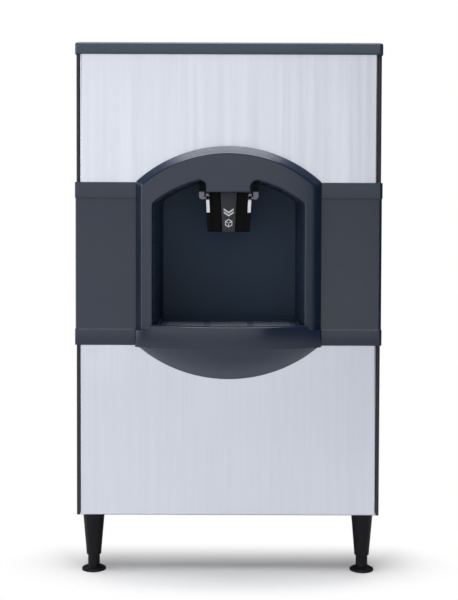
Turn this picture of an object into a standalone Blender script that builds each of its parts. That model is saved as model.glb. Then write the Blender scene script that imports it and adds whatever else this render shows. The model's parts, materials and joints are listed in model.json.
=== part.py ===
"""Floor-standing hotel ice dispenser, 30 inches wide, on four adjustable legs.

Everything is built in cabinet coordinates: x runs across, y runs back from the
face of the front panels, z runs up from the floor. The empty called cabinet
puts that frame where the whole object is centred on the world's origin.
"""

import math

import bmesh
import bpy
from mathutils import Vector

# Fits shared by all pieces
GAP = 0.0003
WELD = 0.000001
OVERRUN = 0.030
SHEET = 0.0015
MOULDING = 0.003

# Cabinet
CABINET_WIDTH = 0.762
CABINET_DEPTH = 0.692
LEG_HEIGHT = 0.152
LOWER_PANEL_HEIGHT = 0.431
BAND_HEIGHT = 0.407
UPPER_PANEL_HEIGHT = 0.321
TRIM_HEIGHT = 0.027
TRIM_OVERHANG = 0.003
TRIM_CORNER_RADIUS = 0.010
TRIM_EDGE_RADIUS = 0.006
TRIM_FLANGE_WIDTH = 0.058
SIDE_STRIP_WIDTH = 0.0087
SIDE_SETBACK = 0.004
SIDE_CORNER_RADIUS = 0.004
SIDE_BACK_RETURN = 0.020
PANEL_SEAM = 0.0008
PANEL_CORNER_RADIUS = 0.006
PANEL_RETURN = 0.018
PANEL_UNDERLAP = 0.010
BASE_RIM_HEIGHT = 0.030
BASE_SHEET = 0.002

# Legs
LEG_AXIS_INSET_X = 0.038
LEG_AXIS_INSET_Y = 0.050
LEG_TOP_RADIUS = 0.0275
LEG_END_RADIUS = 0.0185
LEG_COLLAR = 0.006
LEG_BEVEL = 0.002
LEG_STUD_RADIUS = 0.005
LEG_STUD_LENGTH = 0.014
FOOT_RADIUS = 0.0305
FOOT_RIM = 0.006
FOOT_DOME = 0.006
FOOT_NECK_RADIUS = 0.015
FOOT_NECK_HEIGHT = 0.028
FOOT_STEM_RADIUS = 0.010
FOOT_TRAVEL = 0.020
FOOT_STEM_ENGAGED = 0.020

# Middle band
BAND_PROUD = 0.009
BAND_RECESS = 0.0025
BAND_STEP_SLOPE = 0.0006
BAND_STRIP_HEIGHT = 0.0395
BAND_CORNER_RADIUS = 0.008
BAND_WRAP = 0.040

# Dispensing bezel
BEZEL_HALF_WIDTH = 0.231
BEZEL_ARCH_RADIUS = 0.347
BEZEL_ARCH_RISE = 0.089
BEZEL_SHOULDER_RADIUS = 0.012
BEZEL_EDGE_INSET = 0.018
BEZEL_EDGE_DEPTH = 0.025
BEZEL_BULGE = 0.062
BEZEL_BULGE_RADIUS = 1.36
BEZEL_OVERLAP = 0.012
SILL_RISE = 0.055
ALCOVE_HALF_WIDTH = 0.187
ALCOVE_HEIGHT = 0.365
ALCOVE_ARCH_RADIUS = 0.300
ALCOVE_SHOULDER_RADIUS = 0.010
ALCOVE_DEPTH = 0.200
ALCOVE_DRAFT = 0.010
TONGUE_HALF_WIDTH = 0.055
TONGUE_CORNER_RADIUS = 0.016
TONGUE_DROP = 0.0385

# Sink and drip grille
SINK_REACH = 0.110
SINK_PLAN_RADIUS = 0.450
SINK_LENS_DROP = 0.086
SINK_LENS_BULGE = 0.006
SINK_EDGE_RADIUS = 0.003
SINK_WALL = 0.0035
SINK_LEDGE = 0.026
SINK_RIM_WIDTH = 0.022
SINK_CAVITY_HALF_WIDTH = 0.1745
GRILLE_DROP = 0.012
GRILLE_THICKNESS = 0.008
GRILLE_SEAT = 0.008
GRILLE_SLOT_WIDTH = 0.008
GRILLE_SLOT_PITCH = 0.0165
GRILLE_BORDER = 0.014
GRILLE_COLUMNS = 3
GRILLE_NOTCH_SPACING = 0.050
GRILLE_NOTCH_WIDTH = 0.006
GRILLE_NOTCH_DEPTH = 0.005
SUMP_DEPTH = 0.024

# Ice bin
DECK_CLEARANCE = 0.006
DECK_SHEET = 0.002
DECK_FLANGE = 0.025
FOAM_FLOOR = 0.033
FOAM_SIDE = 0.028
FOAM_AIR_GAP = 0.013
BIN_FRONT_Y = 0.050
BIN_WALL = 0.003
BIN_CORNER_RADIUS = 0.025
BIN_RIM_WIDTH = 0.020
GASKET_THICKNESS = 0.004
GASKET_WIDTH = 0.012

# Paddle wheel and drive
WHEEL_Y = 0.275
WHEEL_RADIUS = 0.204
WHEEL_RUNNING_GAP = 0.0065
PADDLE_HEIGHT = 0.038
PADDLE_THICKNESS = 0.006
PADDLE_COUNT = 8
HUB_RADIUS = 0.034
HOPPER_RADIUS = 0.212
HOPPER_RISE = 0.120
HOPPER_WALL = 0.003
HOPPER_COLLAR = 0.050
BAFFLE_REACH = 0.085
BAFFLE_HALF_ANGLE = math.radians(34)
BAFFLE_SHEET = 0.002
BAFFLE_CLEARANCE = 0.004
SHAFT_RADIUS = 0.010
SHAFT_FIT = 0.0005
AGITATOR_COLLAR_HEIGHT = 0.030
AGITATOR_COLLAR_RADIUS = 0.022
AGITATOR_REACH = 0.150
AGITATOR_ROD_RADIUS = 0.005
AGITATOR_UPTURN = 0.070
HUB_NUT_RADIUS = 0.016
HUB_NUT_HEIGHT = 0.014
SEAL_RADIUS = 0.020
SEAL_HEIGHT = 0.004
GEARBOX_SIZE = 0.110
GEARBOX_HEIGHT = 0.060
GEARBOX_FLANGE = 0.006
GEARBOX_LIP = 0.008
SHAFT_DEPTH_IN_GEARBOX = 0.040
MOTOR_RADIUS = 0.042
MOTOR_LENGTH = 0.115
MOTOR_BEVEL = 0.006
MOTOR_VENT_DEPTH = 0.010

# Throat and rocking chute
THROAT_HALF_WIDTH = 0.040
THROAT_LENGTH = 0.052
THROAT_TOP_Y = 0.106
THROAT_OUTLET_Y = 0.050
THROAT_WALL = 0.002
THROAT_FLANGE = 0.006
THROAT_BELOW_CEILING = 0.018
CHUTE_FRONT_Y = 0.004
CHUTE_DEPTH = 0.076
CHUTE_TOP_HALF_WIDTH = 0.058
CHUTE_BOTTOM_HALF_WIDTH = 0.053
CHUTE_HEIGHT = 0.100
CHUTE_WALL = 0.003
CHUTE_FLANGE = 0.011
CHUTE_RECESS = 0.018
CHUTE_TOP_BELOW_SHOULDER = 0.036
CHUTE_PIVOT_BELOW_TOP = 0.015
CHUTE_PIVOT_Y = 0.030
LABEL_TOP_HALF_WIDTH = 0.021
LABEL_BOTTOM_HALF_WIDTH = 0.016
STRAP_THICKNESS = 0.0012
STRAP_DROP = 0.005
STRAP_LENGTH = 0.047
STRAP_WIDTH = 0.0085
PIN_RADIUS = 0.003
PIN_FIT = 0.0004
EAR_CLEARANCE = 0.0033
EAR_WIDTH = 0.0132
EAR_HEIGHT = 0.022
EAR_LENGTH = 0.044
EAR_CORNER_RADIUS = 0.004
MAGNET_WIDTH = 0.020
MAGNET_HEIGHT = 0.012
MAGNET_THICKNESS = 0.003
MAGNET_DROP = 0.040
SWITCH_GAP = 0.010
SWITCH_LENGTH = 0.014
SWITCH_WIDTH = 0.026
SWITCH_HEIGHT = 0.022

# Service compartment
BOX_WIDTH = 0.240
BOX_HEIGHT = 0.160
BOX_DEPTH = 0.110
BOX_FROM_SIDE = 0.079
BOX_ABOVE_BASE = 0.140
BOX_SHEET = 0.0012
BOARD_WIDTH = 0.110
BOARD_HEIGHT = 0.090
BOARD_THICKNESS = 0.0016
STANDOFF_RADIUS = 0.004
STANDOFF_LENGTH = 0.008
TRANSFORMER_WIDTH = 0.060
TRANSFORMER_DEPTH = 0.050
TRANSFORMER_HEIGHT = 0.055
RELAY_WIDTH = 0.030
RELAY_DEPTH = 0.028
RELAY_HEIGHT = 0.036
ROCKER_WIDTH = 0.020
ROCKER_HEIGHT = 0.026
ROCKER_FRAME = 0.003
ROCKER_DEPTH = 0.016
ROCKER_PROUD = 0.003
ROCKER_FIT = 0.0009
GLAND_RADIUS = 0.009
GLAND_BORE_RADIUS = 0.005
GLAND_FLANGE_RADIUS = 0.013
GLAND_FLANGE = 0.0035
GLAND_TAIL = 0.012
GLAND_FIT = 0.0004
DRAIN_RADIUS = 0.0125
DRAIN_BORE_RADIUS = 0.010
DRAIN_FLANGE_RADIUS = 0.022
DRAIN_FLANGE = 0.0022
DRAIN_FIT = 0.0006
DRAIN_BELOW_BASE = 0.016
SINK_DRAIN_Y = 0.150
BIN_DRAIN_X = 0.100
BIN_DRAIN_BEHIND_SHAFT = 0.125
STRAINER_HEIGHT = 0.0018
STRAINER_SLOT_WIDTH = 0.003
LOUVRE_COUNT = 6
LOUVRE_LENGTH = 0.180
LOUVRE_HEIGHT = 0.006
LOUVRE_PITCH = 0.016
LOUVRE_X = 0.170
LOUVRE_ABOVE_BASE = 0.180

# Levels and places that follow from the sizes above
CABINET_HALF = CABINET_WIDTH / 2
BODY_BOTTOM = LEG_HEIGHT
BAND_BOTTOM = BODY_BOTTOM + LOWER_PANEL_HEIGHT
BAND_TOP = BAND_BOTTOM + BAND_HEIGHT
TRIM_BOTTOM = BAND_TOP + UPPER_PANEL_HEIGHT
TRIM_TOP = TRIM_BOTTOM + TRIM_HEIGHT
TRIM_HALF = CABINET_HALF + TRIM_OVERHANG
FOOT_STEM_LENGTH = FOOT_STEM_ENGAGED + FOOT_TRAVEL
FLANGE_UNDERSIDE = TRIM_TOP - MOULDING
PANEL_HALF = CABINET_HALF - SIDE_STRIP_WIDTH - PANEL_SEAM
SIDE_INNER = CABINET_HALF - SHEET
BASE_HALF = SIDE_INNER - GAP
BASE_FRONT_Y = PANEL_RETURN + GAP
BASE_BOTTOM = BODY_BOTTOM + SHEET + GAP
BACK_OUTER_Y = CABINET_DEPTH - SHEET - GAP
BACK_INNER_Y = BACK_OUTER_Y - SHEET
BASE_BACK_Y = BACK_INNER_Y - GAP
SILL_Z = BAND_BOTTOM + SILL_RISE
BEZEL_BOTTOM = SILL_Z + GAP
BEZEL_ARCH_Z = BAND_TOP + BEZEL_ARCH_RISE - BEZEL_ARCH_RADIUS
ALCOVE_TOP = SILL_Z + ALCOVE_HEIGHT
ALCOVE_ARCH_Z = ALCOVE_TOP - ALCOVE_ARCH_RADIUS
TONGUE_BOTTOM = ALCOVE_TOP - TONGUE_DROP
FRAME_PLATE_Y = SHEET + GAP
LINER_FRONT_Y = FRAME_PLATE_Y + SHEET + GAP
LINER_BACK_Y = ALCOVE_DEPTH
GRILLE_TOP = SILL_Z - GRILLE_DROP
GRILLE_BOTTOM = GRILLE_TOP - GRILLE_THICKNESS
SEAT_Z = GRILLE_BOTTOM - GAP
SUMP_Z = SEAT_Z - SUMP_DEPTH
TUB_BOTTOM = SUMP_Z - SINK_WALL
TUB_BACK_Y = LINER_BACK_Y + MOULDING + GAP
DECK_BOTTOM = ALCOVE_TOP + MOULDING + DECK_CLEARANCE
DECK_TOP = DECK_BOTTOM + DECK_SHEET
FOAM_BOTTOM = DECK_TOP + GAP
BIN_BOTTOM = FOAM_BOTTOM + FOAM_FLOOR + GAP
BIN_FLOOR = BIN_BOTTOM + BIN_WALL
FOAM_REACH = FOAM_SIDE + GAP + BIN_WALL
BIN_HALF_WIDTH = BASE_HALF - FOAM_AIR_GAP - FOAM_REACH
BIN_BACK_Y = BASE_BACK_Y - FOAM_AIR_GAP - FOAM_REACH
BIN_TOP = FLANGE_UNDERSIDE - GASKET_THICKNESS - GAP - GAP
FOAM_TOP = BIN_TOP - BIN_WALL - GAP
WHEEL_BOTTOM = BIN_FLOOR + WHEEL_RUNNING_GAP
PADDLE_TOP = WHEEL_BOTTOM + PADDLE_HEIGHT
BAFFLE_BOTTOM = PADDLE_TOP + BAFFLE_CLEARANCE
AGITATOR_BOTTOM = PADDLE_TOP + GAP
AGITATOR_TOP = AGITATOR_BOTTOM + AGITATOR_COLLAR_HEIGHT
NUT_BOTTOM = AGITATOR_TOP + GAP
GEARBOX_TOP = DECK_BOTTOM - GAP
GEARBOX_BOTTOM = GEARBOX_TOP - GEARBOX_HEIGHT
SHAFT_BOTTOM = GEARBOX_TOP - SHAFT_DEPTH_IN_GEARBOX + GAP
THROAT_TOP = BIN_FLOOR + GAP
THROAT_BOTTOM = ALCOVE_TOP - THROAT_BELOW_CEILING
CHUTE_TOP = ALCOVE_TOP - CHUTE_TOP_BELOW_SHOULDER
CHUTE_BOTTOM = CHUTE_TOP - CHUTE_HEIGHT
CHUTE_PIVOT_Z = CHUTE_TOP - CHUTE_PIVOT_BELOW_TOP
CHUTE_BACK_Y = CHUTE_FRONT_Y + CHUTE_DEPTH
EAR_INNER = CHUTE_TOP_HALF_WIDTH + EAR_CLEARANCE
EAR_OUTER = EAR_INNER + EAR_WIDTH
BOX_BOTTOM = BASE_BOTTOM + BOX_ABOVE_BASE
BOX_TOP = BOX_BOTTOM + BOX_HEIGHT
BOX_LEFT = BOX_FROM_SIDE - BASE_HALF
BOX_RIGHT = BOX_LEFT + BOX_WIDTH
BOX_BACK_Y = BACK_INNER_Y - GAP
BOX_FRONT_Y = BOX_BACK_Y - BOX_DEPTH
BIN_DRAIN_Y = WHEEL_Y + BIN_DRAIN_BEHIND_SHAFT
OVERALL_DEPTH = SINK_REACH + CABINET_DEPTH + TRIM_OVERHANG
FRONT_WORLD_Y = SINK_REACH - OVERALL_DEPTH / 2

# Smoothness
ARC_STEPS = 4
ARCH_STEPS = 20
ROUND_SEGMENTS = 24
HOPPER_STEPS = 40
LEG_SEGMENTS = 20
SMALL_SEGMENTS = 16


# Materials

def srgb(red, green, blue):
    """Turn an 8-bit display colour into linear values."""
    def linear(value):
        share = value / 255
        return share / 12.92 if share <= 0.04045 else ((share + 0.055) / 1.055) ** 2.4
    return (linear(red), linear(green), linear(blue), 1)


def material(name, colour, roughness, metallic=0):
    made = bpy.data.materials.get(name)
    if made is None:
        made = bpy.data.materials.new(name)
        made.use_nodes = True
        shader = made.node_tree.nodes["Principled BSDF"]
        shader.inputs["Base Color"].default_value = srgb(*colour)
        shader.inputs["Roughness"].default_value = roughness
        shader.inputs["Metallic"].default_value = metallic
    return made


def stainless():
    return material("stainless_panel", (206, 210, 218), 0.34, 1)


def side_paint():
    return material("side_panel_paint", (42, 44, 52), 0.45)


def galvanised():
    return material("galvanised_sheet", (150, 155, 160), 0.42, 1)


def charcoal():
    return material("charcoal_moulding", (56, 63, 76), 0.45)


def bin_plastic():
    return material("bin_liner_plastic", (214, 218, 220), 0.4)


def foam():
    return material("insulation_foam", (214, 196, 140), 0.9)


def rubber():
    return material("black_rubber", (26, 26, 28), 0.8)


def chute_black():
    return material("chute_gloss_black", (12, 12, 16), 0.2)


def label_grey():
    return material("chute_label_grey", (48, 50, 66), 0.5)


def satin_steel():
    return material("satin_steel", (190, 193, 198), 0.3, 1)


def leg_black():
    return material("leg_black", (32, 31, 36), 0.4)


def wheel_plastic():
    return material("wheel_plastic", (228, 231, 232), 0.38)


def motor_paint():
    return material("motor_paint", (52, 56, 62), 0.5)


def cast_housing():
    return material("gearbox_casting", (128, 132, 136), 0.5, 1)


def board_green():
    return material("circuit_board", (30, 92, 58), 0.5)


def transformer_steel():
    return material("transformer_laminations", (96, 92, 88), 0.5, 1)


def relay_clear():
    return material("relay_case", (120, 128, 140), 0.3)


def drain_plastic():
    return material("drain_pipe_plastic", (222, 222, 216), 0.45)


# Building blocks

def group(name, place=(0, 0, 0), parent=None):
    """An empty at a joint's axis or at a group's reference point."""
    empty = bpy.data.objects.new(name, None)
    bpy.context.collection.objects.link(empty)
    empty.location = place
    empty.parent = parent
    return empty


def origin_of(holder):
    """Where a holder's origin lies in cabinet coordinates."""
    return Vector(holder.location) if holder.parent else Vector((0, 0, 0))


def make_object(name, bm, holder, paint=None, smooth=None):
    """Give a bmesh in cabinet coordinates to a new object under its holder."""
    bmesh.ops.remove_doubles(bm, verts=bm.verts, dist=WELD)
    bmesh.ops.recalc_face_normals(bm, faces=bm.faces)
    bmesh.ops.translate(bm, vec=-origin_of(holder), verts=bm.verts)
    mesh = bpy.data.meshes.new(name)
    bm.to_mesh(mesh)
    bm.free()
    made = bpy.data.objects.new(name, mesh)
    bpy.context.collection.objects.link(made)
    made.parent = holder
    if paint is not None:
        mesh.materials.append(paint)
    if smooth is not None:
        mesh.shade_smooth()
        mesh.set_sharp_from_angle(angle=math.radians(smooth))
    return made


def add_rings(bm, rings, closed=False):
    """Bridge point rings in order, and cap the two ends or join them."""
    made = [[bm.verts.new(point) for point in ring] for ring in rings]
    pairs = list(zip(made, made[1:]))
    if closed:
        pairs.append((made[-1], made[0]))
    for lower, upper in pairs:
        count = len(lower)
        for index in range(count):
            following = (index + 1) % count
            bm.faces.new((lower[index], lower[following], upper[following], upper[index]))
    if not closed:
        bm.faces.new(made[0])
        bm.faces.new(made[-1])
    return bm


def loft(name, rings, holder, paint=None, closed=False, smooth=None):
    return make_object(name, add_rings(bmesh.new(), rings, closed), holder, paint, smooth)


def plan_prism(name, outline, bottom, top, holder, paint=None, smooth=None):
    """A solid with one (x, y) outline all the way up."""
    rings = [[(x, y, z) for x, y in outline] for z in (bottom, top)]
    return loft(name, rings, holder, paint, smooth=smooth)


def front_prism(name, outline, front, back, holder, paint=None, smooth=None):
    """A solid with one (x, z) outline from front to back."""
    rings = [[(x, y, z) for x, z in outline] for y in (front, back)]
    return loft(name, rings, holder, paint, smooth=smooth)


def box(name, x_span, y_span, z_span, holder, paint=None):
    left, right = x_span
    front, back = y_span
    outline = [(left, front), (right, front), (right, back), (left, back)]
    return plan_prism(name, outline, z_span[0], z_span[1], holder, paint)


def turned(name, profile, centre, holder, paint=None, axis="Z", segments=ROUND_SEGMENTS):
    """Revolve (radius, height) points about an axis through the centre."""
    bm = bmesh.new()
    rings = []
    for radius, height in profile:
        ring = []
        for index in range(segments):
            angle = math.tau * index / segments
            across = radius * math.cos(angle)
            along = radius * math.sin(angle)
            spots = {
                "Z": (across, along, height),
                "Y": (across, height, along),
                "X": (height, across, along),
            }
            ring.append(Vector(centre) + Vector(spots[axis]))
        rings.append(ring)
    add_rings(bm, rings)
    return make_object(name, bm, holder, paint, smooth=35)


def tube(name, outer, bore, bottom, top, centre, holder, paint=None, segments=SMALL_SEGMENTS):
    """A plain ring or pipe about a vertical axis."""
    corners = [(outer, bottom), (outer, top), (bore, top), (bore, bottom)]
    return pipe(name, corners, centre, holder, paint, segments)


def pipe(name, corners, centre, holder, paint=None, segments=SMALL_SEGMENTS, axis="Z"):
    """Revolve a closed (radius, height) section that keeps clear of the axis."""
    rings = []
    for radius, height in corners:
        ring = []
        for index in range(segments):
            angle = math.tau * index / segments
            across = radius * math.cos(angle)
            along = radius * math.sin(angle)
            spot = (across, along, height) if axis == "Z" else (across, height, along)
            ring.append(Vector(centre) + Vector(spot))
        rings.append(ring)
    return loft(name, rings, holder, paint, closed=True, smooth=35)


def apply_boolean(target, other, operation):
    step = target.modifiers.new(operation.lower(), "BOOLEAN")
    step.operation = operation
    step.solver = "EXACT"
    step.object = other
    other.hide_render = True
    other.display_type = "WIRE"
    return target


def cut(target, cutter):
    return apply_boolean(target, cutter, "DIFFERENCE")


def fuse(target, other):
    return apply_boolean(target, other, "UNION")


def keep_inside(target, other):
    return apply_boolean(target, other, "INTERSECT")


def arc(centre, radius, start, end, steps=ARC_STEPS):
    """Points along an arc, in degrees, both ends included."""
    points = []
    for index in range(steps + 1):
        angle = math.radians(start + (end - start) * index / steps)
        points.append((centre[0] + radius * math.cos(angle), centre[1] + radius * math.sin(angle)))
    return points


def rounded_rectangle(x_half, front, back, radius, steps=ARC_STEPS):
    """An (x, y) outline with four round corners."""
    points = []
    points += arc((x_half - radius, front + radius), radius, -90, 0, steps)
    points += arc((x_half - radius, back - radius), radius, 0, 90, steps)
    points += arc((radius - x_half, back - radius), radius, 90, 180, steps)
    points += arc((radius - x_half, front + radius), radius, 180, 270, steps)
    return points


def at_level(outline, z):
    return [(x, y, z) for x, y in outline]


# Cabinet shell

def base_frame(cabinet, paint):
    x_span = (-BASE_HALF, BASE_HALF)
    y_span = (BASE_FRONT_Y, BASE_BACK_Y)
    pan = box("base_frame", x_span, y_span, (BASE_BOTTOM, BASE_BOTTOM + BASE_RIM_HEIGHT),
              cabinet, paint)
    inside_x = (-BASE_HALF + BASE_SHEET, BASE_HALF - BASE_SHEET)
    inside_y = (BASE_FRONT_Y + BASE_SHEET, BASE_BACK_Y - BASE_SHEET)
    inside_z = (BASE_BOTTOM + BASE_SHEET, BASE_BOTTOM + BASE_RIM_HEIGHT + OVERRUN)
    cut(pan, box("base_frame_inside", inside_x, inside_y, inside_z, cabinet))
    for name, x, y in leg_places():
        hole = turned("stud_hole_" + name, post(LEG_STUD_RADIUS + GAP + GAP, OVERRUN),
                      (x, y, BASE_BOTTOM), cabinet, segments=SMALL_SEGMENTS)
        cut(pan, hole)
    for name, x, y in (("sink", 0, SINK_DRAIN_Y), ("bin", BIN_DRAIN_X, BIN_DRAIN_Y)):
        hole = turned("base_hole_" + name, post(DRAIN_RADIUS + DRAIN_FIT, OVERRUN),
                      (x, y, BASE_BOTTOM), cabinet, segments=SMALL_SEGMENTS)
        cut(pan, hole)
    return pan


def post(radius, half_height):
    """Profile of a plain round cutter about its centre."""
    return [(radius, -half_height), (radius, half_height)]


def leg_places():
    for side, x in (("left", LEG_AXIS_INSET_X - CABINET_HALF), ("right", CABINET_HALF - LEG_AXIS_INSET_X)):
        for end, y in (("front", LEG_AXIS_INSET_Y), ("rear", CABINET_DEPTH - LEG_AXIS_INSET_Y)):
            yield end + "_" + side, x, y


def leg(name, x, y, cabinet, paint):
    top = BASE_BOTTOM - GAP
    bottom = FOOT_RIM + FOOT_DOME + FOOT_NECK_HEIGHT
    bore = FOOT_STEM_RADIUS + GAP
    profile = [
        (bore, bottom + FOOT_STEM_LENGTH + GAP),
        (bore, bottom),
        (LEG_END_RADIUS - LEG_BEVEL, bottom),
        (LEG_END_RADIUS, bottom + LEG_BEVEL),
        (LEG_TOP_RADIUS, top - LEG_COLLAR),
        (LEG_TOP_RADIUS, top),
        (LEG_STUD_RADIUS, top),
        (LEG_STUD_RADIUS, top + LEG_STUD_LENGTH),
    ]
    return turned("leg_" + name, profile, (x, y, 0), cabinet, paint, segments=LEG_SEGMENTS)


def foot(name, x, y, cabinet, paint):
    holder = group("foot_axis_" + name, (x, y, 0), cabinet)
    neck_top = FOOT_RIM + FOOT_DOME + FOOT_NECK_HEIGHT - GAP
    profile = [
        (FOOT_RADIUS, 0),
        (FOOT_RADIUS, FOOT_RIM),
        (FOOT_RADIUS - FOOT_DOME, FOOT_RIM + FOOT_DOME / 2),
        (FOOT_NECK_RADIUS, FOOT_RIM + FOOT_DOME),
        (FOOT_NECK_RADIUS, neck_top),
        (FOOT_STEM_RADIUS, neck_top),
        (FOOT_STEM_RADIUS, neck_top + FOOT_STEM_LENGTH),
    ]
    return turned("foot_" + name, profile, (x, y, 0), holder, paint, segments=LEG_SEGMENTS)


def side_panel(name, sign, cabinet, paint):
    """Skin with a short front return and a longer back return."""
    outer = CABINET_HALF
    front = SIDE_SETBACK
    radius = SIDE_CORNER_RADIUS
    strip_edge = outer - SIDE_STRIP_WIDTH
    back_edge = outer - SIDE_BACK_RETURN
    outline = [(strip_edge, front + SHEET), (strip_edge, front)]
    outline += arc((outer - radius, front + radius), radius, -90, 0)
    outline += arc((outer - radius, CABINET_DEPTH - radius), radius, 0, 90)
    outline += [(back_edge, CABINET_DEPTH), (back_edge, CABINET_DEPTH - SHEET)]
    outline += arc((outer - radius, CABINET_DEPTH - radius), radius - SHEET, 90, 0)
    outline += arc((outer - radius, front + radius), radius - SHEET, 0, -90)
    outline = [(sign * x, y) for x, y in outline]
    return plan_prism(name, outline, BODY_BOTTOM, FLANGE_UNDERSIDE - GAP, cabinet, paint, smooth=30)


def back_panel(cabinet, paint):
    bottom = BASE_BOTTOM
    top = FLANGE_UNDERSIDE - GAP
    half = BASE_HALF - SIDE_CORNER_RADIUS
    panel = box("back_panel", (-half, half), (BACK_INNER_Y, BACK_OUTER_Y), (bottom, top), cabinet,
                paint)
    for index in range(LOUVRE_COUNT):
        z = BASE_BOTTOM + LOUVRE_ABOVE_BASE + index * LOUVRE_PITCH
        slot = box(f"louvre_{index}", (LOUVRE_X - LOUVRE_LENGTH / 2, LOUVRE_X + LOUVRE_LENGTH / 2),
                   (BACK_INNER_Y - OVERRUN, BACK_OUTER_Y + OVERRUN), (z, z + LOUVRE_HEIGHT), cabinet)
        cut(panel, slot)
    hole = turned("back_gland_hole", post(GLAND_RADIUS + GLAND_FIT, OVERRUN), gland_centre(),
                  cabinet, axis="Y", segments=SMALL_SEGMENTS)
    return cut(panel, hole)


def panel_tray(name, bottom, top, cabinet, paint):
    """Front sheet with bent edges and returns on all four sides."""
    rings = []
    steps = ARC_STEPS
    for index in range(-1, steps + 1):
        angle = math.radians(90) * max(index, 0) / steps
        inset = PANEL_CORNER_RADIUS * (1 - math.cos(angle))
        y = PANEL_CORNER_RADIUS * (1 - math.sin(angle)) if index >= 0 else PANEL_RETURN
        rings.append(tray_ring(inset, y, bottom, top))
    inner = PANEL_CORNER_RADIUS - SHEET
    for index in range(steps, -2, -1):
        angle = math.radians(90) * max(index, 0) / steps
        inset = SHEET + inner * (1 - math.cos(angle))
        y = SHEET + inner * (1 - math.sin(angle)) if index >= 0 else PANEL_RETURN
        rings.append(tray_ring(inset, y, bottom, top))
    bm = bmesh.new()
    half = len(rings) // 2
    add_shell(bm, rings[:half], rings[half:])
    return make_object(name, bm, cabinet, paint, smooth=30)


def tray_ring(inset, y, bottom, top):
    x = PANEL_HALF - inset
    return [(-x, y, bottom + inset), (x, y, bottom + inset), (x, y, top - inset), (-x, y, top - inset)]


def add_shell(bm, outer, inner):
    """Outer rings run rim to floor, inner rings floor to rim; both floors are capped."""
    made = [[bm.verts.new(point) for point in ring] for ring in outer + inner]
    split = len(outer)
    chains = [made[:split], made[split:], [made[-1], made[0]]]
    for chain in chains:
        for lower, upper in zip(chain, chain[1:]):
            count = len(lower)
            for index in range(count):
                following = (index + 1) % count
                bm.faces.new((lower[index], lower[following], upper[following], upper[index]))
    bm.faces.new(made[split - 1])
    bm.faces.new(made[split])
    return bm


def shell(name, outer, inner, holder, paint=None, smooth=None):
    return make_object(name, add_shell(bmesh.new(), outer, inner), holder, paint, smooth)


def upper_front_panel(cabinet, paint):
    bottom = BAND_TOP - PANEL_UNDERLAP
    top = FLANGE_UNDERSIDE - GAP
    hidden = BEZEL_HALF_WIDTH - BEZEL_OVERLAP
    radius = BEZEL_ARCH_RADIUS - BEZEL_OVERLAP
    panel = panel_tray("upper_front_panel", bottom - PANEL_RETURN - OVERRUN, top, cabinet, paint)
    wide = (-CABINET_HALF, CABINET_HALF)
    deep = (-OVERRUN, PANEL_RETURN + OVERRUN)
    cut(panel, box("upper_panel_end", wide, deep, (bottom - CABINET_HALF, bottom), cabinet))
    notch = [(-hidden, bottom - OVERRUN)] + arch_points(hidden, radius, BEZEL_ARCH_Z)
    notch += [(hidden, bottom - OVERRUN)]
    return cut(panel, front_prism("upper_panel_notch", notch, deep[0], deep[1], cabinet))


def lower_front_panel(cabinet, paint):
    top = BAND_BOTTOM + PANEL_UNDERLAP
    hidden = BEZEL_HALF_WIDTH - BEZEL_OVERLAP
    panel = panel_tray("lower_front_panel", BODY_BOTTOM, top + PANEL_RETURN + OVERRUN, cabinet, paint)
    wide = (-CABINET_HALF, CABINET_HALF)
    deep = (-OVERRUN, PANEL_RETURN + OVERRUN)
    cut(panel, box("lower_panel_end", wide, deep, (top, top + CABINET_HALF), cabinet))
    notch = [(hidden, top + OVERRUN)]
    for x in spread(hidden, ARCH_STEPS):
        notch.append((-x, lens_bottom(x) + BEZEL_OVERLAP))
    notch.append((-hidden, top + OVERRUN))
    return cut(panel, front_prism("lower_panel_notch", notch, deep[0], deep[1], cabinet))


def spread(half, steps):
    """Evenly spaced places from -half to half."""
    return [-half + 2 * half * index / steps for index in range(steps + 1)]


def arch_points(half, radius, centre_z, steps=ARCH_STEPS):
    """(x, z) points over the top of a circle, left to right."""
    reach = min(half, radius)
    start = math.acos(-reach / radius)
    points = []
    for index in range(steps + 1):
        angle = start + (math.pi - start - start) * index / steps
        points.append((radius * math.cos(angle), centre_z + radius * math.sin(angle)))
    return points


def shouldered_arch(half, radius, centre_z, corner):
    """Arch that turns into two upright sides through round shoulders."""
    corner_x = half - corner
    corner_z = centre_z + math.sqrt((radius - corner) ** 2 - corner_x ** 2)
    lean = math.degrees(math.atan2(corner_z - centre_z, corner_x))
    touch_x = radius * math.cos(math.radians(lean))
    left = arc((-corner_x, corner_z), corner, 180, 180 - lean)
    right = arc((corner_x, corner_z), corner, lean, 0)
    return left + arch_points(touch_x, radius, centre_z)[1:-1] + right


def front_frame(cabinet, paint):
    """Plate behind the front panels that carries the bezel, band and liners."""
    half = PANEL_HALF - PANEL_CORNER_RADIUS - GAP
    bottom = BAND_BOTTOM - SINK_LENS_DROP
    top = BAND_TOP + BEZEL_ARCH_RISE + BEZEL_OVERLAP
    plate = box("front_frame", (-half, half), (FRAME_PLATE_Y, FRAME_PLATE_Y + SHEET),
                (bottom, top), cabinet, paint)
    window = [(-ALCOVE_HALF_WIDTH, TUB_BOTTOM)]
    window += shouldered_arch(ALCOVE_HALF_WIDTH, ALCOVE_ARCH_RADIUS, ALCOVE_ARCH_Z,
                              ALCOVE_SHOULDER_RADIUS)
    window += [(ALCOVE_HALF_WIDTH, TUB_BOTTOM)]
    cut(plate, front_prism("front_frame_window", window, -OVERRUN, OVERRUN, cabinet))
    tub = SINK_CAVITY_HALF_WIDTH + SINK_RIM_WIDTH + GAP
    return cut(plate, box("front_frame_tub", (-tub, tub), (-OVERRUN, OVERRUN),
                          (TUB_BOTTOM - GAP, SILL_Z + GAP), cabinet))


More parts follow.
